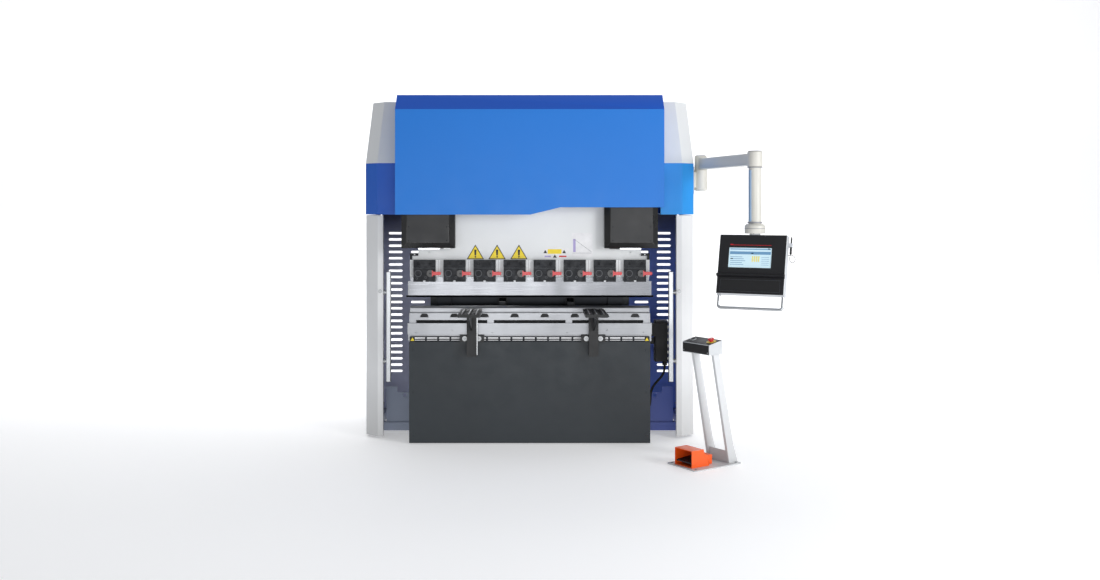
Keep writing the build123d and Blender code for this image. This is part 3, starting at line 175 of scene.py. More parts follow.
# ---------------------------------------------------------------- materials
def srgb(r, g, b):
    """Linear colour from 0-255 screen values."""
    def linear(v):
        v /= 255
        return v / 12.92 if v <= 0.04045 else ((v + 0.055) / 1.055) ** 2.4
    return (linear(r), linear(g), linear(b), 1.0)


class Material:
    """A procedural material in object space, so that its pattern stays on a moving piece."""

    def __init__(self, name, metallic=0.0, coat=0.0):
        self.mat = bpy.data.materials.new(name)
        self.mat.use_nodes = True
        self.tree = self.mat.node_tree
        self.shader = self.tree.nodes["Principled BSDF"]
        self.shader.inputs["Metallic"].default_value = metallic
        self.shader.inputs["Coat Weight"].default_value = coat
        self.place = self.tree.nodes.new("ShaderNodeTexCoord").outputs["Object"]

    def node(self, kind, **values):
        made = self.tree.nodes.new(kind)
        for key, value in values.items():
            if hasattr(made, key):
                setattr(made, key, value)
            else:
                made.inputs[key.replace("_", " ")].default_value = value
        return made

    def link(self, source, target):
        self.tree.links.new(source, target)

    def stretch(self, scale):
        """Object coordinates scaled by (x, y, z)."""
        mapping = self.node("ShaderNodeMapping")
        mapping.inputs["Scale"].default_value = scale
        self.link(self.place, mapping.inputs["Vector"])
        return mapping.outputs["Vector"]

    def noise(self, scale, detail=3.0, stretch=None, roughness=0.5):
        made = self.node("ShaderNodeTexNoise", Scale=scale, Detail=detail, Roughness=roughness)
        self.link(self.stretch(stretch) if stretch else self.place, made.inputs["Vector"])
        return made.outputs["Fac"]

    def ramp(self, source, low, high, start=0.3, end=0.7):
        made = self.node("ShaderNodeMapRange")
        self.link(source, made.inputs["Value"])
        for key, value in (("From Min", start), ("From Max", end), ("To Min", low), ("To Max", high)):
            made.inputs[key].default_value = value
        return made.outputs["Result"]

    def mix(self, factor, a, b):
        """Colour a where factor is 0, b where it is 1; a and b are colours or sockets."""
        made = self.node("ShaderNodeMix", data_type="RGBA")
        self.link(factor, made.inputs["Factor"])
        for value, key in ((a, 6), (b, 7)):
            if isinstance(value, tuple):
                made.inputs[key].default_value = value
            else:
                self.link(value, made.inputs[key])
        return made.outputs[2]

    def height(self):
        """The surface's height above the floor."""
        split = self.node("ShaderNodeSeparateXYZ")
        self.link(self.place, split.inputs["Vector"])
        return split.outputs["Z"]

    def color(self, value):
        if isinstance(value, tuple):
            self.shader.inputs["Base Color"].default_value = value
        else:
            self.link(value, self.shader.inputs["Base Color"])
        return self

    def rough(self, value):
        if isinstance(value, float):
            self.shader.inputs["Roughness"].default_value = value
        else:
            self.link(value, self.shader.inputs["Roughness"])
        return self

    def bump(self, source, distance):
        made = self.node("ShaderNodeBump", Strength=1.0, Distance=distance)
        self.link(source, made.inputs["Height"])
        old = self.shader.inputs["Normal"].links
        if old:
            self.link(old[0].from_socket, made.inputs["Normal"])
        self.link(made.outputs["Normal"], self.shader.inputs["Normal"])
        return self


def along_x(m):
    split = m.node("ShaderNodeSeparateXYZ")
    m.link(m.place, split.inputs["Vector"])
    return split.outputs["X"]


def shade(color, factor):
    return tuple(min(1.0, c * factor) for c in color[:3]) + (1.0,)


def paint(name, color, rough=0.42, peel=0.00006, grime=0.25, coat=0.0, floor_darkening=0.0):
    """Sprayed or powder-coated metal: faint cloudiness, fine orange peel, scuffs that dull the gloss."""
    m = Material(name, coat=coat)
    cloud = m.ramp(m.noise(1.7, 4.0), 0.0, 1.0)
    tint = m.mix(cloud, shade(color, 1.05), shade(color, 1 - 0.28 * grime))
    speck = m.ramp(m.noise(38.0, 6.0, roughness=0.7), 0.0, 0.5 * grime, 0.56, 0.78)
    tint = m.mix(speck, tint, shade(color, 0.62))
    # darker towards the floor, fading out by 0.45 m
    if floor_darkening:
        low = m.ramp(m.height(), floor_darkening, 0.0, 0.0, 0.45)
        tint = m.mix(low, tint, srgb(92, 88, 82))
    m.color(tint)
    m.rough(m.ramp(m.noise(9.0, 5.0, roughness=0.65), rough - 0.05, rough + 0.11))
    m.bump(m.noise(620.0, 2.0), peel)
    return m.mat


def ground_steel(name, color, rough, along=0, line=900.0, stain=0.35, painted_reflection=0.0):
    """Ground or brushed steel with fine lines along one axis (0, 1 or 2), slight stains and broad darker
    bands of painted reflection.
    """
    m = Material(name, metallic=1.0)
    scale = [line] * 3
    scale[along] = 6.0
    lines = m.noise(1.0, 3.0, stretch=tuple(scale))
    cloud = m.noise(5.0, 5.0, roughness=0.6)
    tint = m.mix(m.ramp(lines, 0.0, 1.0), shade(color, 0.86), shade(color, 1.08))
    tint = m.mix(m.ramp(cloud, 0.0, stain), tint, shade(color, 0.6))
    # painted reflection: broad darker bands, stretched along X
    if painted_reflection:
        tint = m.mix(m.ramp(m.noise(1.0, 2.0, stretch=(2.6, 0.4, 0.4)), 0.0, painted_reflection, 0.4, 0.62), tint,
                     shade(color, 0.4))
    m.color(tint)
    m.rough(m.ramp(lines, rough - 0.06, rough + 0.1))
    m.shader.inputs["Anisotropic"].default_value = 0.35
    m.bump(lines, 0.00002)
    return m.mat


def black_steel(name, color, rough):
    """Blackened or black-painted steel, rubbed slightly brighter in patches."""
    m = Material(name, metallic=0.55)
    rub = m.ramp(m.noise(14.0, 6.0, roughness=0.7), 0.0, 1.0, 0.5, 0.8)
    m.color(m.mix(rub, color, shade(color, 2.1)))
    m.rough(m.ramp(m.noise(30.0, 4.0), rough - 0.08, rough + 0.12))
    m.bump(m.noise(420.0, 3.0), 0.00005)
    return m.mat


def plastic(name, color, rough=0.38, grain=0.00004, coat=0.0):
    """Moulded plastic with a fine grain."""
    m = Material(name, coat=coat)
    cloud = m.ramp(m.noise(22.0, 4.0), 0.0, 1.0)
    m.color(m.mix(cloud, color, shade(color, 0.86)))
    m.rough(m.ramp(m.noise(60.0, 4.0), rough - 0.05, rough + 0.08))
    m.bump(m.noise(900.0, 2.0), grain)
    return m.mat


def chrome(name):
    m = Material(name, metallic=1.0)
    smear = m.noise(24.0, 5.0)
    m.color(m.mix(m.ramp(smear, 0.0, 1.0), srgb(225, 227, 230), srgb(196, 198, 202)))
    m.rough(m.ramp(smear, 0.06, 0.2))
    return m.mat


def painted_side_light(name, left, right, rough=0.42, top=None, low_darkening=0.0):
    """Paint with painted light: the left and right housings get different colours for how each side is lit,
    and a painted shadow may darken it towards the top.
    """
    m = Material(name)
    # painted light: the left and right colours stand in for the different light on the two sides
    side = m.ramp(along_x(m), 0.0, 1.0, -0.3, 0.3)
    tint = m.mix(side, left, right)
    cloud = m.ramp(m.noise(1.7, 4.0), 0.0, 0.12)
    tint = m.mix(cloud, tint, shade(left, 0.7))
    # painted shadow: above 1.15 m the colour turns to top, for the hood's shadow
    if top:
        tint = m.mix(m.ramp(m.height(), 0.0, 1.0, 1.15, 1.5), tint, top)
    # darker towards the floor, fading out by 0.4 m
    if low_darkening:
        tint = m.mix(m.ramp(m.height(), low_darkening, 0.0, 0.0, 0.4), tint, srgb(92, 88, 82))
    m.color(tint)
    m.rough(m.ramp(m.noise(9.0, 5.0, roughness=0.65), rough - 0.05, rough + 0.11))
    m.bump(m.noise(620.0, 2.0), 0.00006)
    return m.mat


def lever_plastic(name, pitch, count, split):
    """Black hub and red grip: the colour changes at the same distance from each clamp's centre."""
    m = Material(name, coat=0.2)
    offset = m.node("ShaderNodeMath", operation="MODULO")
    shifted = m.node("ShaderNodeMath", operation="ADD")
    shifted.inputs[1].default_value = pitch * count / 2
    m.link(along_x(m), shifted.inputs[0])
    m.link(shifted.outputs[0], offset.inputs[0])
    offset.inputs[1].default_value = pitch
    mask = m.ramp(offset.outputs[0], 0.0, 1.0, pitch / 2 + split - 0.0005, pitch / 2 + split + 0.0005)
    wrapped = m.ramp(offset.outputs[0], 1.0, 0.0, pitch * 0.14, pitch * 0.14 + 0.001)
    either = m.node("ShaderNodeMath", operation="MAXIMUM")
    m.link(mask, either.inputs[0])
    m.link(wrapped, either.inputs[1])
    m.color(m.mix(either.outputs[0], srgb(20, 20, 22), srgb(205, 22, 34)))
    m.rough(m.ramp(m.noise(60.0, 4.0), 0.26, 0.4))
    m.bump(m.noise(900.0, 2.0), 0.00003)
    return m.mat


def two_tone(name, place, split, front, rest):
    """Two paints on one housing: front where the depth along place's Y axis is under split."""
    m = Material(name)
    axis = place.to_3x3().col[1]
    depth = m.node("ShaderNodeVectorMath", operation="DOT_PRODUCT")
    m.link(m.place, depth.inputs[0])
    depth.inputs[1].default_value = tuple(axis)
    start = axis.dot(place.translation) + split
    mask = m.ramp(depth.outputs["Value"], 0.0, 1.0, start - 0.0003, start + 0.0003)
    cloud = m.ramp(m.noise(2.4, 4.0), 0.0, 0.12)
    m.color(m.mix(mask, front, m.mix(cloud, rest, shade(rest, 0.8))))
    m.rough(m.ramp(m.noise(9.0, 5.0, roughness=0.65), 0.38, 0.53))
    m.bump(m.noise(620.0, 2.0), 0.00008)
    return m.mat


def hood_paint(name, color, bevel_shade, bevel_start):
    """Blue gloss paint, with painted shade in a deeper blue on the hood's bevel and roof."""
    m = Material(name, coat=0.12)
    cloud = m.ramp(m.noise(1.3, 3.0), 0.0, 0.14)
    tint = m.mix(cloud, color, shade(color, 0.8))
    # painted shade: above bevel_start the blue turns to bevel_shade
    tint = m.mix(m.ramp(m.height(), 0.0, 1.0, bevel_start, bevel_start + 0.004), tint, bevel_shade)
    m.color(tint)
    m.rough(m.ramp(m.noise(9.0, 4.0), 0.36, 0.46))
    m.bump(m.noise(620.0, 2.0), 0.00004)
    return m.mat


def screen_glow(name, color, strength):
    """Lit display behind glass."""
    m = Material(name, coat=0.5)
    tint = m.mix(m.ramp(m.noise(3.0, 2.0), 0.0, 0.3), color, shade(color, 0.86))
    m.color(tint)
    m.link(tint, m.shader.inputs["Emission Color"])
    m.shader.inputs["Emission Strength"].default_value = strength
    m.rough(0.16)
    return m.mat


def punch_steel(name, edge_top):
    """Ground steel whose nose, below edge_top, is nearly black as painted shade of the tapered tip."""
    m = Material(name, metallic=1.0)
    lines = m.noise(1.0, 3.0, stretch=(6.0, 900.0, 900.0))
    # painted shade: the tapered nose under the punch body is in shadow
    nose = m.ramp(m.height(), 1.0, 0.0, edge_top - 0.001, edge_top + 0.001)
    cloud = m.ramp(m.noise(2.2, 4.0), 0.0, 0.45)
    tint = m.mix(cloud, srgb(170, 172, 177), srgb(122, 124, 128))
    # painted reflection: broad darker bands along X
    painted_reflection = m.ramp(m.noise(1.0, 2.0, stretch=(2.2, 0.4, 0.4)), 0.0, 0.75, 0.4, 0.6)
    tint = m.mix(painted_reflection, tint, srgb(84, 86, 90))
    m.color(m.mix(nose, m.mix(m.ramp(lines, 0.0, 0.3), tint, srgb(150, 152, 156)), srgb(24, 24, 26)))
    m.rough(m.ramp(lines, 0.24, 0.38))
    m.bump(lines, 0.00002)
    return m.mat


WHITE = paint("white_powder_coat", srgb(230, 232, 233), 0.42, grime=0.12)
WHITE_LOW = paint("white_powder_coat_low", srgb(230, 231, 232), 0.4, grime=0.12, floor_darkening=0.35)
CHARCOAL = paint("charcoal_paint", srgb(30, 38, 44), 0.4, grime=0.3)
# painted shade: the second blue is for the shaded bevel and roof
BLUE = hood_paint("blue_gloss_paint", srgb(12, 118, 212), srgb(8, 88, 202), 2.2125)
# painted light: in these three the first colour is the left housings' and the second the right's, as each
# side is lit; the panels' top colour is the hood's painted shadow
BAND_BLUE = painted_side_light("blue_band_paint", srgb(12, 92, 196), srgb(30, 148, 230), 0.4)
PANEL_BLUE = painted_side_light("navy_panel_paint", srgb(222, 226, 255), srgb(112, 148, 255), top=srgb(60, 64, 96))
GREY = painted_side_light("grey_machine_paint", srgb(166, 178, 202), srgb(76, 104, 206), low_darkening=0.25)
TANK_GREY = paint("tank_grey_paint", srgb(150, 156, 165), 0.42, grime=0.35)
SILL_GREY = paint("sill_grey_paint", srgb(176, 182, 188), 0.45, grime=0.3, floor_darkening=0.4)
# painted reflection: broad darker bands on the die table, die holder, die and guides
STEEL = ground_steel("ground_steel_x", srgb(176, 178, 182), 0.36, stain=0.25, painted_reflection=0.45)
STEEL_DARK = ground_steel("back_gauge_steel", srgb(52, 54, 58), 0.4)
PUNCH_STEEL = punch_steel("punch_steel", 0.979)
RAIL_DARK = black_steel("rail_dark_steel", srgb(36, 38, 42), 0.42)
CLAMP_BLACK = black_steel("clamp_black_oxide", srgb(24, 26, 30), 0.36)
WEDGE_BLACK = black_steel("wedge_black", srgb(20, 21, 23), 0.5)
COVER_BLACK = paint("cover_black_gloss", srgb(10, 10, 11), 0.28, grime=0.2, coat=0.2)
COVER_PANEL = paint("cover_panel_grey", srgb(40, 41, 43), 0.4, grime=0.15)
ROD_CHROME = chrome("hard_chrome")
ALUMINIUM = ground_steel("brushed_aluminium_z", srgb(206, 209, 212), 0.33, along=2, line=700.0, stain=0.15)
LEVER = lever_plastic("lever_plastic", 0.2, 8, 0.052)
ARM = paint("arm_near_black", srgb(24, 25, 27), 0.42)
STRIP = ground_steel("arm_slide_strip", srgb(196, 198, 200), 0.3, along=1)
BOOM = paint("boom_ivory_paint", srgb(214, 212, 204), 0.36, grime=0.15)
HEAD_GREY = two_tone("head_light_grey", HEAD, -0.0355, srgb(24, 24, 27), srgb(206, 209, 213))
BOX_GREY = paint("switch_box_grey", srgb(206, 209, 212), 0.42, peel=0.00008, grime=0.15)
HOUSING = paint("housing_black_texture", srgb(24, 24, 27), 0.44, peel=0.00012, grime=0.15)
STAND = paint("stand_white_paint", srgb(218, 220, 222), 0.4, grime=0.18, floor_darkening=0.2)
RUBBER = plastic("cable_rubber", srgb(24, 24, 25), 0.6, grain=0.00005)
# black mouldings, and painted shade in the die holder's pocket recesses and in the vent slots
SOFT_BLACK = plastic("black_moulding_and_shade", srgb(22, 22, 24), 0.5)
STOP_RED = plastic("stop_button_red", srgb(205, 24, 24), 0.28, coat=0.3)
SIGN_YELLOW = plastic("sign_yellow", srgb(250, 222, 30), 0.35, grain=0.00001)
SIGN_BLACK = plastic("sign_black", srgb(18, 18, 18), 0.4, grain=0.00001)
SIGN_WHITE = plastic("sign_white", srgb(240, 240, 242), 0.35, grain=0.00001)
SIGN_LILAC = plastic("sign_lilac", srgb(176, 164, 214), 0.35, grain=0.00001)
SIGN_RED = plastic("sign_red", srgb(214, 36, 44), 0.35, grain=0.00001)
SIGN_GREY_DARK = plastic("edge_dark_grey", srgb(70, 73, 78), 0.4, grain=0.00001)
SIGN_GREY = plastic("sign_grey", srgb(150, 152, 158), 0.4, grain=0.00001)
ORANGE = paint("orange_guard_paint", srgb(248, 96, 26), 0.34, grime=0.2)
ZINC = ground_steel("zinc_plated_screw", srgb(180, 182, 184), 0.36, line=1500.0)
DUCT_GREY = paint("duct_blue_grey", srgb(120, 146, 176), 0.4, grime=0.1)
SCREEN = screen_glow("display_pale_blue", srgb(196, 222, 232), 0.35)
SCREEN_BLUE = screen_glow("display_mid_blue", srgb(104, 148, 184), 0.25)
SCREEN_YELLOW = screen_glow("display_yellow", srgb(226, 216, 130), 0.25)
SCREEN_DARK = screen_glow("display_dark", srgb(40, 56, 78), 0.1)

LOOKS = {
    WHITE: ["ram_beam", "upper_side_covers"],
    WHITE_LOW: ["side_door_left", "side_door_right"],
    CHARCOAL: ["side_frames", "frame_ties", "bed_beam", "ram_guides", "backgauge_rails", "pump_unit"],
    BLUE: ["front_hood"],
    BAND_BLUE: ["side_bands"],
    PANEL_BLUE: ["slotted_panels"],
    GREY: ["wing_base"],
    SILL_GREY: ["foot_plates", "control_cabinet", "cabinet_door"],
    TANK_GREY: ["oil_tank", "cylinder_barrels"],
    STEEL: ["die_table", "die_holder", "lower_die", "guide_blocks", "ball_screw"],
    PUNCH_STEEL: ["punch"],
    RAIL_DARK: ["support_rail"],
    STEEL_DARK: ["backgauge_beam"],
    CLAMP_BLACK: ["tool_clamps", "finger_left", "finger_right"],
    WEDGE_BLACK: ["crowning_wedges"],
    COVER_BLACK: ["cylinder_covers"],
    ROD_CHROME: ["piston_rods", "hydraulic_lines"],
    ALUMINIUM: ["door_handle_left", "door_handle_right", "pendant_grip"],
    LEVER: [n for n in NODES if n.startswith("clamp_lever")],
    ARM: ["support_arm_left", "support_arm_right"],
    BOOM: ["pendant_arm", "pendant_bracket"],
    HEAD_GREY: ["pendant_box"],
    BOX_GREY: ["station_box"],
    HOUSING: ["junction_box"],
    STAND: ["station_stand"],
    SOFT_BLACK: ["stylus", "foot_pedal", "start_button"],
    STOP_RED: ["estop_button"],
    ORANGE: ["foot_switch"],
    RUBBER: ["conduit", "stylus_cord"],
}


def dress(node, material):
    mesh = NODES[node].data
    mesh.materials.clear()
    mesh.materials.append(material)


for material, names in LOOKS.items():
    for name in names:
        dress(name, material)
conduit_cord.data.materials.append(RUBBER)
pen_cord.data.materials.append(RUBBER)


# ---------------------------------------------------------------- softened edges of the CAD pieces
ROUNDED = {
    0.0015: ["ram_beam", "die_table", "die_holder", "bed_beam", "support_arm_left", "support_arm_right",
             "foot_plates", "backgauge_beam", "crowning_wedges", "lower_die", "pendant_box", "oil_tank"],
    0.0012: ["tool_clamps", "finger_left", "finger_right", "junction_box", "station_stand", "station_box",
             "support_rail", "guide_blocks", "pendant_arm", "pump_unit"],
    0.0007: ["front_hood", "side_bands", "upper_side_covers", "side_door_left", "side_door_right",
             "cylinder_covers", "foot_switch", "foot_pedal", "control_cabinet", "cabinet_door", "wing_base"],
}


def soften(node, width):
    """A small rounded edge that catches the light: the CAD mesh itself stays as it is."""
    piece = NODES[node]
    weld = piece.modifiers.new("weld", "WELD")
    weld.merge_threshold = 0.00002
    bevel = piece.modifiers.new("soft_edges", "BEVEL")
    bevel.width = width
    bevel.segments = 2
    bevel.limit_method = "ANGLE"
    bevel.angle_limit = radians(40)
    bevel.harden_normals = True
    bevel.use_clamp_overlap = True


for width, names in ROUNDED.items():
    for name in names:
        soften(name, width)


# ---------------------------------------------------------------- detail pieces
class Shape:
    """Collects solids in one mesh, in metres, in a frame given by place."""

    def __init__(self, place=Matrix.Identity(4)):
        self.bm = bmesh.new()
        self.place = place

    def box(self, low, high):
        middle = [(a + b) / 2 for a, b in zip(low, high)]
        size = [abs(b - a) for a, b in zip(low, high)]
        bmesh.ops.create_cube(self.bm, size=1.0, matrix=self.place @ Matrix.Translation(middle)
                              @ Matrix.Diagonal((*size, 1.0)))
        return self

    def rod(self, start, end, radius, tip=None, segments=28):
        """Cylinder or cone from start to end."""
        start, end = Vector(start), Vector(end)
        run = end - start
        turn = run.to_track_quat("Z", "Y").to_matrix().to_4x4()
        bmesh.ops.create_cone(self.bm, cap_ends=True, segments=segments, radius1=radius,
                              radius2=radius if tip is None else tip, depth=run.length,
                              matrix=self.place @ Matrix.Translation((start + end) / 2) @ turn)
        return self

    def ring(self, centre, axis, outer, inner, height, segments=36):
        """Flat ring whose lower face is at centre."""
        turn = Vector(axis).to_track_quat("Z", "Y").to_matrix().to_4x4()
        spot = self.place @ Matrix.Translation(centre) @ turn
        loops = []
        for radius, z in ((outer, 0.0), (outer, height), (inner, height), (inner, 0.0)):
            loops.append([self.bm.verts.new(spot @ Vector((radius * cos(2 * pi * i / segments),
                                                           radius * sin(2 * pi * i / segments), z)))
                          for i in range(segments)])
        for a, b in zip(loops, loops[1:] + loops[:1]):
            for i in range(segments):
                j = (i + 1) % segments
                self.bm.faces.new((a[i], a[j], b[j], b[i]))
        return self

    def prism_y(self, outline, front, rear):
        """Plate with the outline points (x, z) between two depths."""
        near = [self.bm.verts.new(self.place @ Vector((x, front, z))) for x, z in outline]
        far = [self.bm.verts.new(self.place @ Vector((x, rear, z))) for x, z in outline]
        self.bm.faces.new(near)
        self.bm.faces.new(far[::-1])
        count = len(outline)
        for i in range(count):
            j = (i + 1) % count
            self.bm.faces.new((near[j], near[i], far[i], far[j]))
        return self

    def screw(self, place, axis, radius=0.005, height=0.003):
        """Hexagon-socket head: a chamfered button with a dark hexagonal recess on top."""
        place, axis = Vector(place), Vector(axis).normalized()
        self.rod(place, place + axis * height * 0.7, radius)
        self.rod(place + axis * height * 0.7, place + axis * height, radius, radius * 0.82)
        self.ring(place + axis * height, axis, radius * 0.55, radius * 0.42, height * 0.12, 6)
        return self

    def done(self, name, material, body, bevel=0.0):
        bmesh.ops.recalc_face_normals(self.bm, faces=self.bm.faces[:])
        mesh = bpy.data.meshes.new(name)
        self.bm.to_mesh(mesh)
        self.bm.free()
        mesh.materials.append(material)
        piece = bpy.data.objects.new(name, mesh)
        bpy.context.collection.objects.link(piece)
        mesh.shade_smooth()
        mesh.set_sharp_from_angle(angle=radians(35))
        if bevel:
            edges = piece.modifiers.new("soft_edges", "BEVEL")
            edges.width = bevel
            edges.segments = 2
            edges.limit_method = "ANGLE"
            edges.angle_limit = radians(40)
        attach(piece, body)
        return piece


def arc(x, z, radius, degrees):
    """Points of a circle in XZ at the given angles."""
    return [(x + radius * cos(radians(a)), z + radius * sin(radians(a))) for a in degrees]


def rounded(x0, x1, z0, z1, radius):
    """Outline of a rectangle with rounded corners."""
    points = []
    for cx, cz, start in ((x1 - radius, z1 - radius, 0), (x0 + radius, z1 - radius, 90),
                          (x0 + radius, z0 + radius, 180), (x1 - radius, z0 + radius, 270)):
        points += arc(cx, cz, radius, range(start, start + 91, 18))
    return points


PITCH = 0.2
CLAMPS = [PITCH * (i - 3.5) for i in range(8)]
FORWARD, BACKWARD, UP = (0, -1, 0), (0, 1, 0), (0, 0, 1)
RAM_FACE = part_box("ram_beam")[0][1]
CLAMP_FACE = -0.544
JAW_FACE = -0.548
COVER_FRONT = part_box("cylinder_covers")[0][1]
HOOD_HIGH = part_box("front_hood")[1]
RAIL_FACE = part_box("support_rail")[0][1]
FRAME_OUTER = 0.695
FRAME_MIDDLE = 0.6725
THIN = 0.0004


def triangle(x, z, width, height, inset=0.0):
    """Outline of an upright triangle with its base at z, drawn in by inset on each side."""
    return [(x - width / 2 + 1.7 * inset, z + inset), (x + width / 2 - 1.7 * inset, z + inset),
            (x, z + height - 2.0 * inset)]


def warning_signs():
    """Three triangles on the ram, each with a plain mark, and a small label with a chart beside them."""
    face, first, second, third = (RAM_FACE - layer * THIN for layer in range(4))
    black, yellow, mark = Shape(), Shape(), Shape()
    base, width, height = 1.222, 0.116, 0.098
    for x in (-0.363, -0.218, -0.072):
        black.prism_y(triangle(x, base, width, height), first, face)
        yellow.prism_y(triangle(x, base, width, height, 0.0055), second, first)
        mark.prism_y([(x - 0.005, 1.247), (x + 0.005, 1.247), (x + 0.008, 1.286), (x - 0.008, 1.286)],
                     third, second)
        mark.prism_y(arc(x, 1.238, 0.0055, range(0, 360, 15)), third, second)
    black.done("sign_borders", SIGN_BLACK, "ram")
    yellow.done("sign_fields", SIGN_YELLOW, "ram")
    mark.done("sign_marks", SIGN_BLACK, "ram")

    for name, outline, front, rear, material in (
            ("label_plate", rounded(0.088, 0.264, 1.224, 1.294, 0.006), first, face, SIGN_WHITE),
            ("label_field", rounded(0.120, 0.213, 1.258, 1.289, 0.004), second, first, SIGN_YELLOW)):
        Shape().prism_y(outline, front, rear).done(name, material, "ram")
    small = Shape()
    for x, z in ((0.104, 1.262), (0.230, 1.262), (0.168, 1.232)):
        small.prism_y(triangle(x, z, 0.026, 0.022), second, first)
    small.done("label_triangles", SIGN_BLACK, "ram")
    for name, x0, x1, material in (("label_bar_lilac", 0.100, 0.142, SIGN_LILAC),
                                   ("label_bar_red", 0.196, 0.246, SIGN_RED)):
        Shape().box((x0, second, 1.236), (x1, first, 1.246)).done(name, material, "ram")

    chart = rounded(0.281, 0.419, 1.236, 1.398, 0.006)
    Shape().prism_y(chart, first, face).done("chart_plate", SIGN_WHITE, "ram")
    bar = [(0.290, 1.270), (0.307, 1.270), (0.307, 1.357), (0.290, 1.357)]
    Shape().prism_y(bar, second, first).done("chart_bar", SIGN_LILAC, "ram")
    line = Shape()
    line.prism_y([(0.297, 1.354), (0.297, 1.357), (0.412, 1.273), (0.412, 1.270)], third, second)
    line.box((0.286, second, 1.262), (0.414, first, 1.264))
    line.done("chart_lines", SIGN_GREY, "ram")


def ram_fittings():
    """Spacer strips between the clamps, clamp screws, and the stop brackets at the ram's shoulders."""
    spacers, lines, screws = Shape(), Shape(), Shape()
    front, end, clamp_half = -0.521, 0.798, 0.0735
    edges = [-end, *[x + side * clamp_half for x in CLAMPS for side in (-1, 1)], end]
    for a, b in zip(edges[::2], edges[1::2]):
        spacers.box((a, front - 0.002, 1.106), (b, front, 1.219))
        for share in (0.35, 0.65):
            x = a + (b - a) * share
            lines.box((x - 0.001, front - 0.0026, 1.108), (x + 0.001, front - 0.002, 1.217))
    spacers.done("clamp_spacers", WHITE, "ram", 0.0008)
    lines.done("clamp_spacer_lines", SIGN_GREY, "ram")
    for x in CLAMPS:
        for side in (-1, 1):
            screws.screw((x + side * 0.04, CLAMP_FACE + 0.012, 1.1935), FORWARD, 0.0075, 0.008)
            screws.screw((x + side * 0.058, CLAMP_FACE - 0.004, 1.092), FORWARD, 0.005, 0.003)
    screws.done("clamp_screws", CLAMP_BLACK, "ram")
    bracket, bolts = Shape(), Shape()
    stop_front = RAM_FACE - 0.012
    for side in (-1, 1):
        bracket.box((side * 0.744, stop_front, 1.246), (side * 0.800, RAM_FACE, 1.262))
        bracket.box((side * 0.784, stop_front, 1.200), (side * 0.800, RAM_FACE, 1.246))
        bolts.screw((side * 0.768, stop_front, 1.254), FORWARD, 0.005, 0.003)
        bolts.screw((side * 0.792, stop_front, 1.216), FORWARD, 0.005, 0.003)
    bracket.done("ram_stop_brackets", CLAMP_BLACK, "ram", 0.001)
    bolts.done("ram_stop_bolts", ZINC, "ram")


def clamp_details():
    """Edges, screw rings and notch inserts of the clamps' jaws, and dark plates in each pocket of the die
    holder: painted shade in these recesses.
    """
    edges, rings, inserts, pocket_shade_plates = Shape(), Shape(), Shape(), Shape()
    pocket_z, pocket_r = 0.8385, 0.0282
    for x in CLAMPS:
        edges.box((x - 0.0725, JAW_FACE - 0.0012, 1.1645), (x + 0.0725, JAW_FACE + 0.003, 1.1678))
        rings.ring((x - 0.040, JAW_FACE - 0.008, 1.130), FORWARD, 0.0238, 0.019, 0.0014)
        rings.ring((x + 0.010, JAW_FACE, 1.104), FORWARD, 0.0085, 0.0055, 0.0016)
        rings.ring((x - 0.052, JAW_FACE, 1.096), FORWARD, 0.0075, 0.0045, 0.0016)
        inserts.box((x - 0.007, JAW_FACE + 0.001, 1.0745), (x + 0.007, JAW_FACE + 0.011, 1.0835))
        right = arc(x, pocket_z, pocket_r, range(10, 62, 8))
        left = arc(x, pocket_z, pocket_r, range(118, 172, 8))
        # painted shade: a black half-round plate where the pocket is in shadow
        pocket_shade_plates.prism_y([(x - 0.0275, pocket_z), *right, *left], -0.5405, -0.5335)
    edges.done("jaw_edges", SIGN_GREY_DARK, "ram", 0.0004)
    rings.done("jaw_rings", SIGN_GREY_DARK, "ram")
    inserts.done("jaw_notch_inserts", ZINC, "ram", 0.0004)
    pocket_shade_plates.done("holder_pocket_shade", SOFT_BLACK, "frame", 0.0005)


def rail_scale():
    """White dashes along the support rail, with a yellow marker at each end."""
    dashes, markers = Shape(), Shape()
    pitch, half = 0.081, 0.034
    for i in range(-9, 10):
        for z0, z1 in ((0.6855, 0.6895), (0.6975, 0.7065)):
            dashes.box((i * pitch - half, RAIL_FACE - 0.0003, z0), (i * pitch + half, RAIL_FACE, z1))
    for side in (-1, 1):
        markers.prism_y(triangle(side * 0.778, 0.683, 0.026, 0.022), RAIL_FACE - THIN, RAIL_FACE)
    dashes.done("rail_dashes", SIGN_WHITE, "frame")
    markers.done("rail_markers", SIGN_YELLOW, "frame")


def cover_panels():
    """Grey inner panel on each black cylinder cover, and its screws."""
    panels, screws = Shape(), Shape()
    front, half = COVER_FRONT - 0.0012, 0.137
    for side in (-1, 1):
        x0, x1 = side * FRAME_MIDDLE - half, side * FRAME_MIDDLE + half
        panels.prism_y(rounded(x0, x1, 1.338, 1.808, 0.004), front, COVER_FRONT)
        for x in (x0 + 0.012, x1 - 0.012):
            for z in (1.350, 1.44, 1.796):
                screws.screw((x, front, z), FORWARD, 0.004, 0.0022)
    panels.done("cover_panels", COVER_PANEL, "frame", 0.0004)
    screws.done("cover_screws", CLAMP_BLACK, "frame")


def hood_fittings():
    """Screws on the hood's top, and louvres in its end walls."""
    screws, louvres = Shape(), Shape()
    top = HOOD_HIGH[2]
    for x in (-0.80, -0.48, -0.16, 0.16, 0.48, 0.80):
        for y in (-0.44, -0.10, 0.24):
            screws.screw((x, y, top), UP, 0.006, 0.0035)
    for side in (-1, 1):
        for i in range(7):
            x, y = 0.999 * side * HOOD_HIGH[0], 0.02 + i * 0.05
            louvres.rod((x, y, 1.98), (x, y, 2.16), 0.006)
    screws.done("hood_screws", ZINC, "frame")
    louvres.done("hood_louvres", BLUE, "frame")


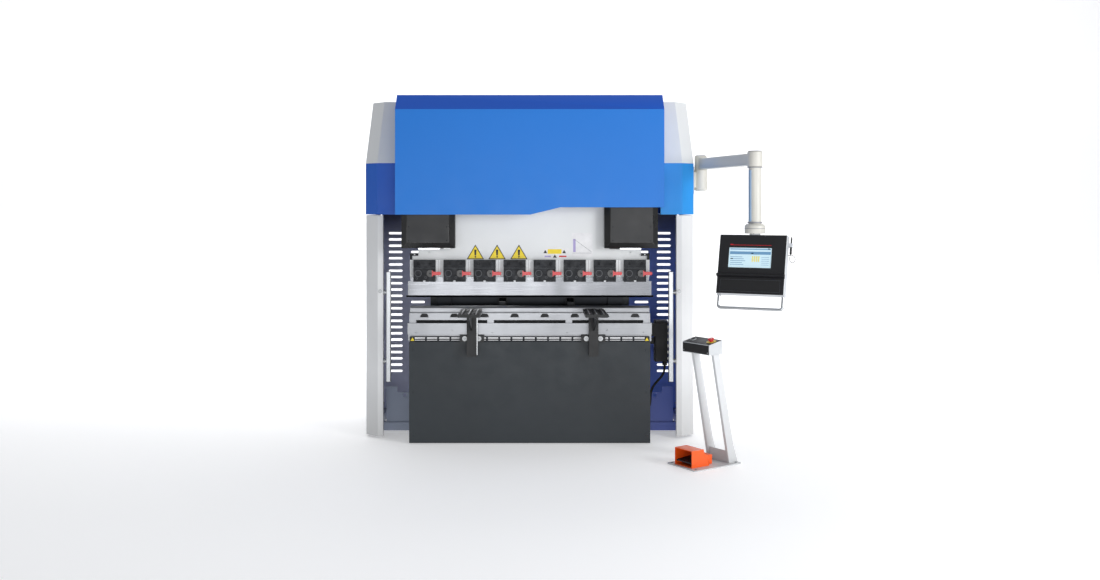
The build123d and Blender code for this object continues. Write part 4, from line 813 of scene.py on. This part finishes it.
def housing_fittings():
    """Screws on the slotted sheets, and the side guards' hinge caps, locks and handle fittings."""
    screws, caps = Shape(), Shape()
    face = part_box("slotted_panels")[0][1]
    for side in (-1, 1):
        for z in (0.10, 0.45, 0.80, 1.15, 1.48):
            for x in (0.712, 1.096):
                screws.screw((side * x, face, z), FORWARD, 0.005, 0.003)
        for z in (0.195, 0.826, 1.396):
            caps.rod((side * 1.130, 0.409, z), (side * 1.130, 0.409, z + 0.0045), 0.008, 0.005)
    screws.done("sheet_screws", ZINC, "frame")
    caps.done("hinge_caps", ZINC, "frame")
    for side, end in ((-1, "left"), (1, "right")):
        lock, collars, ends = Shape(), Shape(), Shape()
        x, z = side * 1.012, 1.00
        lock.rod((x, -0.403, z), (x, -0.409, z), 0.013)
        lock.rod((x, -0.409, z), (x, -0.412, z), 0.009)
        lock.box((x - 0.0012, -0.4135, z - 0.006), (x + 0.0012, -0.412, z + 0.006))
        lock.done("door_lock_" + end, ZINC, "door_" + end)
        for z in (0.525, 0.992):
            collars.ring((side * 0.985, -0.383, z), (side, 0, 0), 0.019, 0.0125, 0.008)
        collars.done("standoff_collars_" + end, ZINC, "door_" + end, 0.0008)
        handle_x, handle_half = side * 0.958, 0.0155
        for z0, z1 in ((0.384, 0.388), (1.129, 1.1325)):
            outline = rounded(handle_x - handle_half, handle_x + handle_half, z0, z1, 0.0015)
            ends.prism_y(outline, -0.3985, -0.3675)
        ends.done("handle_ends_" + end, SOFT_BLACK, "door_" + end)


HEAD_FRONT, HEAD_REAR = -0.036, 0.036


def head_front():
    """Black front plate round the display's hole, the strip below it, and a red line."""
    plate = Shape(HEAD)
    y0, y1 = HEAD_FRONT - 0.0018, HEAD_FRONT
    half, hole_left, hole_right, hole_bottom, hole_top = 0.209, -0.146, 0.122, -0.208, -0.082
    plate.box((-half, y0, hole_top), (half, y1, -0.003))
    plate.box((-half, y0, -0.246), (half, y1, hole_bottom))
    plate.box((-half, y0, hole_bottom), (hole_left, y1, hole_top))
    plate.box((hole_right, y0, hole_bottom), (half, y1, hole_top))
    plate.box((-half, y0, -0.369), (half, y1, -0.270))
    plate.done("head_front_plate", HOUSING, "control_head")
    line = Shape(HEAD)
    line.box((-0.140, y0 - 0.0006, -0.067), (0.118, y0, -0.0645))
    line.box((-0.140, y0 - 0.0006, -0.0645), (-0.122, y0, -0.060))
    line.done("head_red_line", SIGN_RED, "control_head")


def head_display():
    """Lit glass with a plain layout of rows, cells and marks just in front of it."""
    glass = rounded(-0.1455, 0.1215, -0.2075, -0.0825, 0.002)
    y0, y1 = HEAD_FRONT + 0.0006, HEAD_FRONT + 0.001
    Shape(HEAD).prism_y(glass, y1, HEAD_FRONT + 0.004).done("display_glass", SCREEN, "control_head")
    rows, cells, marks = Shape(HEAD), Shape(HEAD), Shape(HEAD)
    rows.box((-0.140, y0, -0.094), (0.116, y1, -0.088))
    rows.box((-0.140, y0, -0.124), (0.116, y1, -0.106))
    for i in range(5):
        z = -0.142 - i * 0.012
        rows.box((-0.136, y0, z), (-0.060 + 0.010 * (i % 3), y1, z + 0.003))
        rows.box((0.060, y0, z), (0.108, y1, z + 0.002))
    for i in range(4):
        cells.box((0.013 * i, y0, -0.170), (0.013 * i + 0.009, y1, -0.134))
    for x, z in ((0.002, -0.117), (-0.126, -0.152), (0.104, -0.088)):
        marks.box((x - 0.007, y0 - 0.0003, z - 0.003), (x + 0.007, y0, z + 0.003))
    rows.done("display_rows", SCREEN_BLUE, "control_head")
    cells.done("display_cells", SCREEN_YELLOW, "control_head")
    marks.done("display_marks", SCREEN_DARK, "control_head")


def head_keys():
    """Plain lower field in a thin rim."""
    field = rounded(-0.184, 0.184, -0.354, -0.288, 0.004)
    Shape(HEAD).prism_y(field, HEAD_FRONT - 0.0058, HEAD_FRONT - 0.0050).done(
        "key_field", SOFT_BLACK, "control_head")
    rim = Shape(HEAD)
    half, bottom, top, width = 0.187, -0.3585, -0.2845, 0.0015
    for x0, z0, x1, z1 in ((-half, top - width, half, top), (-half, bottom, half, bottom + width),
                           (-half, bottom, width - half, top), (half - width, bottom, half, top)):
        rim.box((x0, HEAD_FRONT - 0.0062, z0), (x1, HEAD_FRONT - 0.0045, z1))
    rim.done("key_field_rim", SIGN_GREY_DARK, "control_head")


def head_back():
    """Screws and vents on the back of the head."""
    screws, vents = Shape(HEAD), Shape(HEAD)
    for x in (-0.17, 0.17):
        for z in (-0.03, -0.34):
            screws.screw((x, HEAD_REAR, z), BACKWARD, 0.005, 0.003)
    # painted shade: black slots stand in for the dark vent openings
    for i in range(8):
        z = -0.146 - i * 0.02
        vents.prism_y(rounded(-0.09, 0.09, z, z + 0.006, 0.0028), HEAD_REAR, HEAD_REAR + 0.0005)
    screws.done("head_back_screws", ZINC, "control_head")
    vents.done("head_back_vents", SOFT_BLACK, "control_head")


def boom_fittings():
    """Caps and collars of the boom, and the cable duct beside its drop tube."""
    collars, caps = Shape(), Shape()
    middle = 1.868
    caps.rod((1.190, -0.198, middle + 0.056), (1.190, -0.198, middle + 0.062), 0.041, 0.032)
    caps.rod((DROP_X, DROP_Y, middle + 0.050), (DROP_X, DROP_Y, middle + 0.0535), 0.044, 0.040)
    for z, outer, inner, height in ((middle - 0.052, 0.0485, 0.040, 0.004), (1.471, 0.0455, 0.0395, 0.008),
                                    (1.437, 0.0645, 0.0635, 0.003)):
        collars.ring((DROP_X, DROP_Y, z), UP, outer, inner, height)
    caps.done("boom_caps", SIGN_GREY, "boom", 0.0006)
    collars.done("boom_collars", SIGN_GREY, "boom", 0.0004)
    x, y = DROP_X - 0.034, DROP_Y - 0.022
    Shape().rod((x, y, 1.482), (x, y, 1.800), 0.009).done("boom_cable_duct", DUCT_GREY, "boom")


# The switch box in the stand's frame: its front and rear, and how high and how steep its top is.
BOX_FRONT, BOX_REAR = -0.070, 0.038
BOX_HIGH, BOX_SLOPE = 0.766, 0.024


def station_fittings():
    """Top plate with holes for the buttons, their rings, the front plate and the base's screws."""
    box_depth = BOX_REAR - BOX_FRONT
    tilt = atan2(BOX_SLOPE, box_depth)
    middle = (0, (BOX_FRONT + BOX_REAR) / 2, BOX_HIGH - BOX_SLOPE / 2)
    face = STATION @ Matrix.Translation(middle) @ Matrix.Rotation(tilt, 4, "X")
    half_x, half_y = 0.114, box_depth / cos(tilt) / 2 - 0.003
    plate = Shape(face)
    for x0, x1, y0, y1 in ((-half_x, -0.099, -half_y, half_y), (0.105, half_x, -half_y, half_y),
                           (-0.061, 0.055, -half_y, half_y), (-0.099, -0.061, -half_y, -0.019),
                           (-0.099, -0.061, 0.019, half_y), (0.055, 0.105, -half_y, -0.025),
                           (0.055, 0.105, 0.025, half_y)):
        plate.box((x0, y0, 0.0), (x1, y1, 0.0016))
    plate.done("station_top_plate", HOUSING, "station")
    Shape(face).ring((0.080, 0, 0.003), UP, 0.030, 0.0126, 0.0014).done(
        "stop_button_disc", SIGN_YELLOW, "station")
    Shape(face).ring((-0.080, 0, 0.004), UP, 0.0195, 0.0146, 0.0022).done(
        "start_button_ring", ZINC, "station", 0.0004)
    plate_front, plate_top = BOX_FRONT - 0.0016, BOX_HIGH - BOX_SLOPE - 0.004
    Shape(STATION).box((-half_x, plate_front, 0.684), (half_x, BOX_FRONT, plate_top)).done(
        "station_front_plate", HOUSING, "station")
    screws, feet = Shape(STATION), Shape(STATION)
    for x in (-0.105, 0.105):
        screws.screw((x, plate_front, 0.694), FORWARD, 0.004, 0.002)
        for y in (-0.165, 0.165):
            feet.screw((x, y, 0.008), UP, 0.007, 0.004)
    screws.done("station_front_screws", ZINC, "station")
    feet.done("station_base_screws", ZINC, "station")


def pedal_fittings():
    """Ribs across the pedal."""
    ribs = Shape(PEDAL)
    for i in range(9):
        y = 0.010 + i * 0.010
        ribs.box((-0.058, y, 0.0), (0.058, y + 0.004, 0.0016))
    ribs.done("pedal_ribs", RUBBER, "pedal", 0.0004)


def arm_strips():
    """Slide strips and clamping wheels of both front supports, and a scale beside the left post."""
    post_x = {"left": -0.383, "right": 0.421}
    for end, x in post_x.items():
        low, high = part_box("support_arm_" + end)
        strips, wheels = Shape(), Shape()
        for dx in (-0.045, 0.0, 0.045):
            strips.box((x + dx - 0.004, low[1] + 0.012, high[2]),
                       (x + dx + 0.004, high[1] - 0.09, high[2] + 0.0006))
        strips.done("arm_strips_" + end, STRIP, "arm_" + end)
        for dx in (-0.047, 0.047):
            wheels.ring((x + dx, -0.582, 0.701), FORWARD, 0.0165, 0.006, 0.0012)
            wheels.screw((x + dx, -0.5822, 0.701), FORWARD, 0.005, 0.003)
        wheels.done("arm_wheels_" + end, ZINC, "arm_" + end)
    x = post_x["left"]
    Shape().box((x + 0.032, -0.602, 0.596), (x + 0.040, -0.596, 0.868)).done(
        "arm_scale_left", STRIP, "arm_left", 0.0006)


def tank_fittings():
    """Sight glass at the rear of the tank, between two bolts."""
    low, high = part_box("oil_tank")
    rear, bottom = high[1], low[2]
    Shape().box((-0.556, rear - 0.001, bottom + 0.135), (-0.534, rear + 0.003, bottom + 0.265)).done(
        "tank_sight_glass", SIGN_YELLOW, "frame", 0.0012)
    bolts = Shape()
    for z in (0.125, 0.275):
        bolts.screw((-0.545, rear, bottom + z), BACKWARD, 0.009, 0.006)
    bolts.done("tank_sight_bolts", ZINC, "frame")


def cabinet_fittings():
    """Vents and latch bar of the cabinet's door, and the cable glands under the cabinet."""
    low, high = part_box("cabinet_door")
    skin = high[1] - 0.020
    vents, glands = Shape(), Shape()
    # painted shade: black slots stand in for the dark vent openings
    for row in range(6):
        for x in (0.06, 0.26):
            z = low[2] + 0.06 + row * 0.016
            vents.prism_y(rounded(x, x + 0.15, z, z + 0.006, 0.0028), skin, skin + 0.0008)
    vents.done("cabinet_vents", SOFT_BLACK, "cabinet_lid")
    x, z = high[0] - 0.050, (low[2] + high[2]) / 2
    Shape().box((x - 0.004, high[1] - 0.003, z - 0.030), (x + 0.004, high[1] - 0.0005, z + 0.030)).done(
        "cabinet_latch_bar", ZINC, "cabinet_lid", 0.0006)
    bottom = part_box("control_cabinet")[0][2]
    for i in range(6):
        x, y = 0.05 + i * 0.07, 0.26
        glands.rod((x, y, bottom), (x, y, bottom - 0.012), 0.014, segments=6)
        glands.rod((x, y, bottom - 0.012), (x, y, bottom - 0.024), 0.011, 0.008)
    glands.done("cabinet_glands", SOFT_BLACK, "frame")


def frame_fittings():
    """Bolts through the side frames into the ties and the bed, and screws of the bed's apron."""
    bolts, screws = Shape(), Shape()
    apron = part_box("bed_beam")[0][1]
    for side in (-1, 1):
        x, outward = side * FRAME_OUTER, (side, 0, 0)
        for z in (0.44, 0.52, 0.60):
            for y in (0.30, 0.37):
                bolts.screw((x, y, z), outward, 0.011, 0.007)
        for z in (1.98, 2.06):
            bolts.screw((x, 0.20, z), outward, 0.011, 0.007)
        for z in (0.10, 0.30, 0.50):
            bolts.screw((x, -0.40, z), outward, 0.012, 0.008)
        for z in (0.06, 0.34, 0.62):
            screws.screw((side * 0.772, apron, z), FORWARD, 0.007, 0.003)
    bolts.done("frame_bolts", ZINC, "frame")
    screws.done("apron_screws", CHARCOAL, "frame")


def pump_fittings():
    """Terminal box on the motor, and solenoids with nuts on the valve block."""
    low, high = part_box("pump_unit")
    y, top = (low[1] + high[1]) / 2, high[2]
    Shape().box((-0.03, y - 0.045, top - 0.004), (0.08, y + 0.045, top + 0.028)).done(
        "motor_terminal_box", CHARCOAL, "frame", 0.003)
    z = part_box("hydraulic_lines")[0][2] + 0.05
    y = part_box("oil_tank")[0][1] + 0.130
    solenoids, nuts = Shape(), Shape()
    for x in (-0.415, -0.38, -0.345):
        solenoids.rod((x, y - 0.050, z), (x, y, z), 0.013)
        nuts.rod((x, y, z), (x, y + 0.006, z), 0.009)
    solenoids.done("valve_solenoids", SOFT_BLACK, "frame", 0.0008)
    nuts.done("valve_coil_nuts", ZINC, "frame")


for add in (warning_signs, ram_fittings, clamp_details, rail_scale, cover_panels, hood_fittings,
            housing_fittings, head_front, head_display, head_keys, head_back, boom_fittings,
            station_fittings, pedal_fittings, arm_strips, tank_fittings, cabinet_fittings,
            frame_fittings, pump_fittings):
    add()
